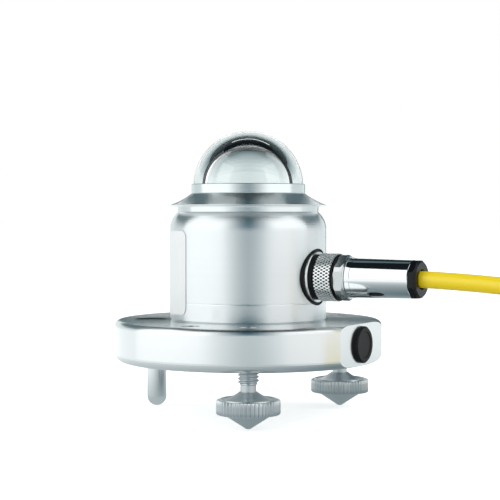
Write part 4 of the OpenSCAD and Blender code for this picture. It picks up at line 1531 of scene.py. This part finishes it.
class Pyranometer:
    """The whole instrument."""

    def __init__(self, effects: Effects) -> None:
        """Builds every finish from the shared node groups."""
        self.finish = {
            f.name: f.build(effects)
            for f in (
                TurnedMetal("anodised base", (0.87, 0.89, 0.895), 0.25, depth=1.0e-6, anisotropy=0.85),
                TurnedMetal("anodised body", (0.79, 0.82, 0.83), 0.28, depth=1.4e-6, anisotropy=0.85),
                TurnedMetal("anodised cap", (0.78, 0.82, 0.83), 0.24, depth=1.0e-6, anisotropy=0.6),
                PlainMetal("screw steel", (0.66, 0.70, 0.72), 0.3, depth=2e-6),
                PlainMetal("polished foot", (0.78, 0.81, 0.82), 0.12),
                PlainMetal("plain screws", (0.55, 0.56, 0.57), 0.3),
                Moulded("black rubber", (0.005, 0.006, 0.007), 0.5, spread=0.15, specular=0.2),
                Moulded("black plastic", (0.004, 0.005, 0.007), 0.3, spread=0.12, specular=0.22),
                Moulded("black insert", (0.03, 0.03, 0.033), 0.5),
                Moulded("label film", (0.80, 0.83, 0.83), 0.38, spread=0.02, depth=1e-6),
                ClearGlass("dome glass", (0.97, 0.99, 0.985), 0.0, index=1.5),
                ClearGlass("window glass", (0.95, 0.97, 0.97), 0.0, index=1.47),
                ClearGlass("level liquid", (0.80, 0.93, 0.55), 0.0, index=1.4),
                Moulded("level cup", (0.03, 0.035, 0.04), 0.4, coat=0.3),
                TurnedMetal("sensor metal", (0.72, 0.74, 0.75), 0.3, lines=3500.0),
                Moulded("thermopile ceramic", (0.75, 0.70, 0.58), 0.6),
                Moulded("dead black", (0.004, 0.004, 0.004), 0.95, specular=0.1),
                Moulded("white screen", (0.86, 0.86, 0.84), 0.55, spread=0.02),
                CircuitLaminate("circuit laminate", (0.03, 0.16, 0.08), 0.35),
                Moulded("moulded parts", (0.02, 0.02, 0.022), 0.45),
                Moulded("wire skin", (0.60, 0.16, 0.03), 0.45),
                PlainMetal("nickel", (0.66, 0.68, 0.68), 0.24, depth=1.5e-6),
                KnurledMetal("knurled nickel", (0.80, 0.82, 0.82), 0.26, centre=(0.0, 0.0, 0.0413)),
                PlainMetal("nut brass", (0.70, 0.52, 0.22), 0.3),
                PlainMetal("gold plate", (0.86, 0.62, 0.24), 0.2),
                PlainMetal("bright chrome", (0.82, 0.84, 0.85), 0.07, depth=2e-7),
                Moulded("yellow jacket", (0.86, 0.66, 0.0), 0.33, spread=0.05, depth=4e-6, coat=0.15),
                Moulded("strap", (0.02, 0.02, 0.022), 0.6, grain=900.0, depth=4e-5),
                Moulded("core brown", (0.16, 0.07, 0.03), 0.45),
                Moulded("core white", (0.80, 0.79, 0.75), 0.45),
                Moulded("core blue", (0.03, 0.09, 0.42), 0.45),
                Moulded("core black", (0.02, 0.02, 0.022), 0.45),
                PlainMetal("tinned tip", (0.70, 0.71, 0.72), 0.25),
            )
        }

    def dress_nodes(self) -> None:
        """Gives each node that stays its finish."""
        plan = {
            "anodised base": ["base_flange"],
            "anodised body": ["body_shell"],
            "anodised cap": ["dome_cap"],
            "screw steel": [
                "front_levelling_stud", "front_thumbwheel", "rear_levelling_stud", "rear_thumbwheel",
            ],
            "polished foot": ["fixed_foot"],
            "plain screws": ["body_screws", "board_spacers", "board_screws"],
            "black rubber": [
                "port_plug", "body_seal", "dome_seal", "receptacle_gasket", "nose_seal", "clamp_seal",
            ],
            # ring_washer is a washer part whose black also stands in for the shadow in the gap between
            # the coupling ring and the nut: painted shade
            "black plastic": ["clamp_cap", "ring_washer"],
            "black insert": ["receptacle_insert", "plug_insert"],
            "label film": ["rating_label"],
            "dome glass": ["glass_dome"],
            "window glass": ["level_window"],
            "level liquid": ["level_fluid"],
            "level cup": ["level_cup"],
            "sensor metal": ["sensor_base"],
            "thermopile ceramic": ["thermopile"],
            "dead black": ["absorber_disc"],
            "white screen": ["screen_ring"],
            "circuit laminate": ["circuit_board"],
            "moulded parts": ["board_components"],
            "wire skin": ["sensor_leads", "harness", "plug_cores"],
            "nickel": ["receptacle_body", "coupling_ring", "plug_nut"],
            "nut brass": ["receptacle_nut"],
            "gold plate": ["receptacle_pins", "plug_contacts"],
            "bright chrome": ["plug_shell"],
            "yellow jacket": ["cable_lead", "cable_coil"],
            "core white": ["cable_end_cores"],
        }
        for finish, nodes in plan.items():
            for node in nodes:
                dress(node, self.finish[finish])

    def build(self) -> None:
        """Builds the pieces in order."""
        CableRun().build(
            self.finish["yellow jacket"],
            self.finish["strap"],
            [self.finish[n] for n in ("core brown", "core white", "core blue", "core black")],
            self.finish["tinned tip"],
        )
        self.dress_nodes()
        circle = 33.0
        for name, angle in (("front", 300.0), ("rear", 60.0)):
            turn = math.radians(angle)
            screw = LevellingScrew((circle * math.cos(turn), circle * math.sin(turn)))
            screw.build(name, self.finish["screw steel"])
        Plug().build(self.finish["knurled nickel"], self.finish["bright chrome"])
        DomeGlass().build(self.finish["dome glass"])


def main() -> None:
    """Builds the studio and the instrument."""
    logging.basicConfig(level=logging.INFO, format="%(name)s: %(message)s")
    Studio().build()
    Pyranometer(Effects()).build()


if __name__ == "__main__":
    main()
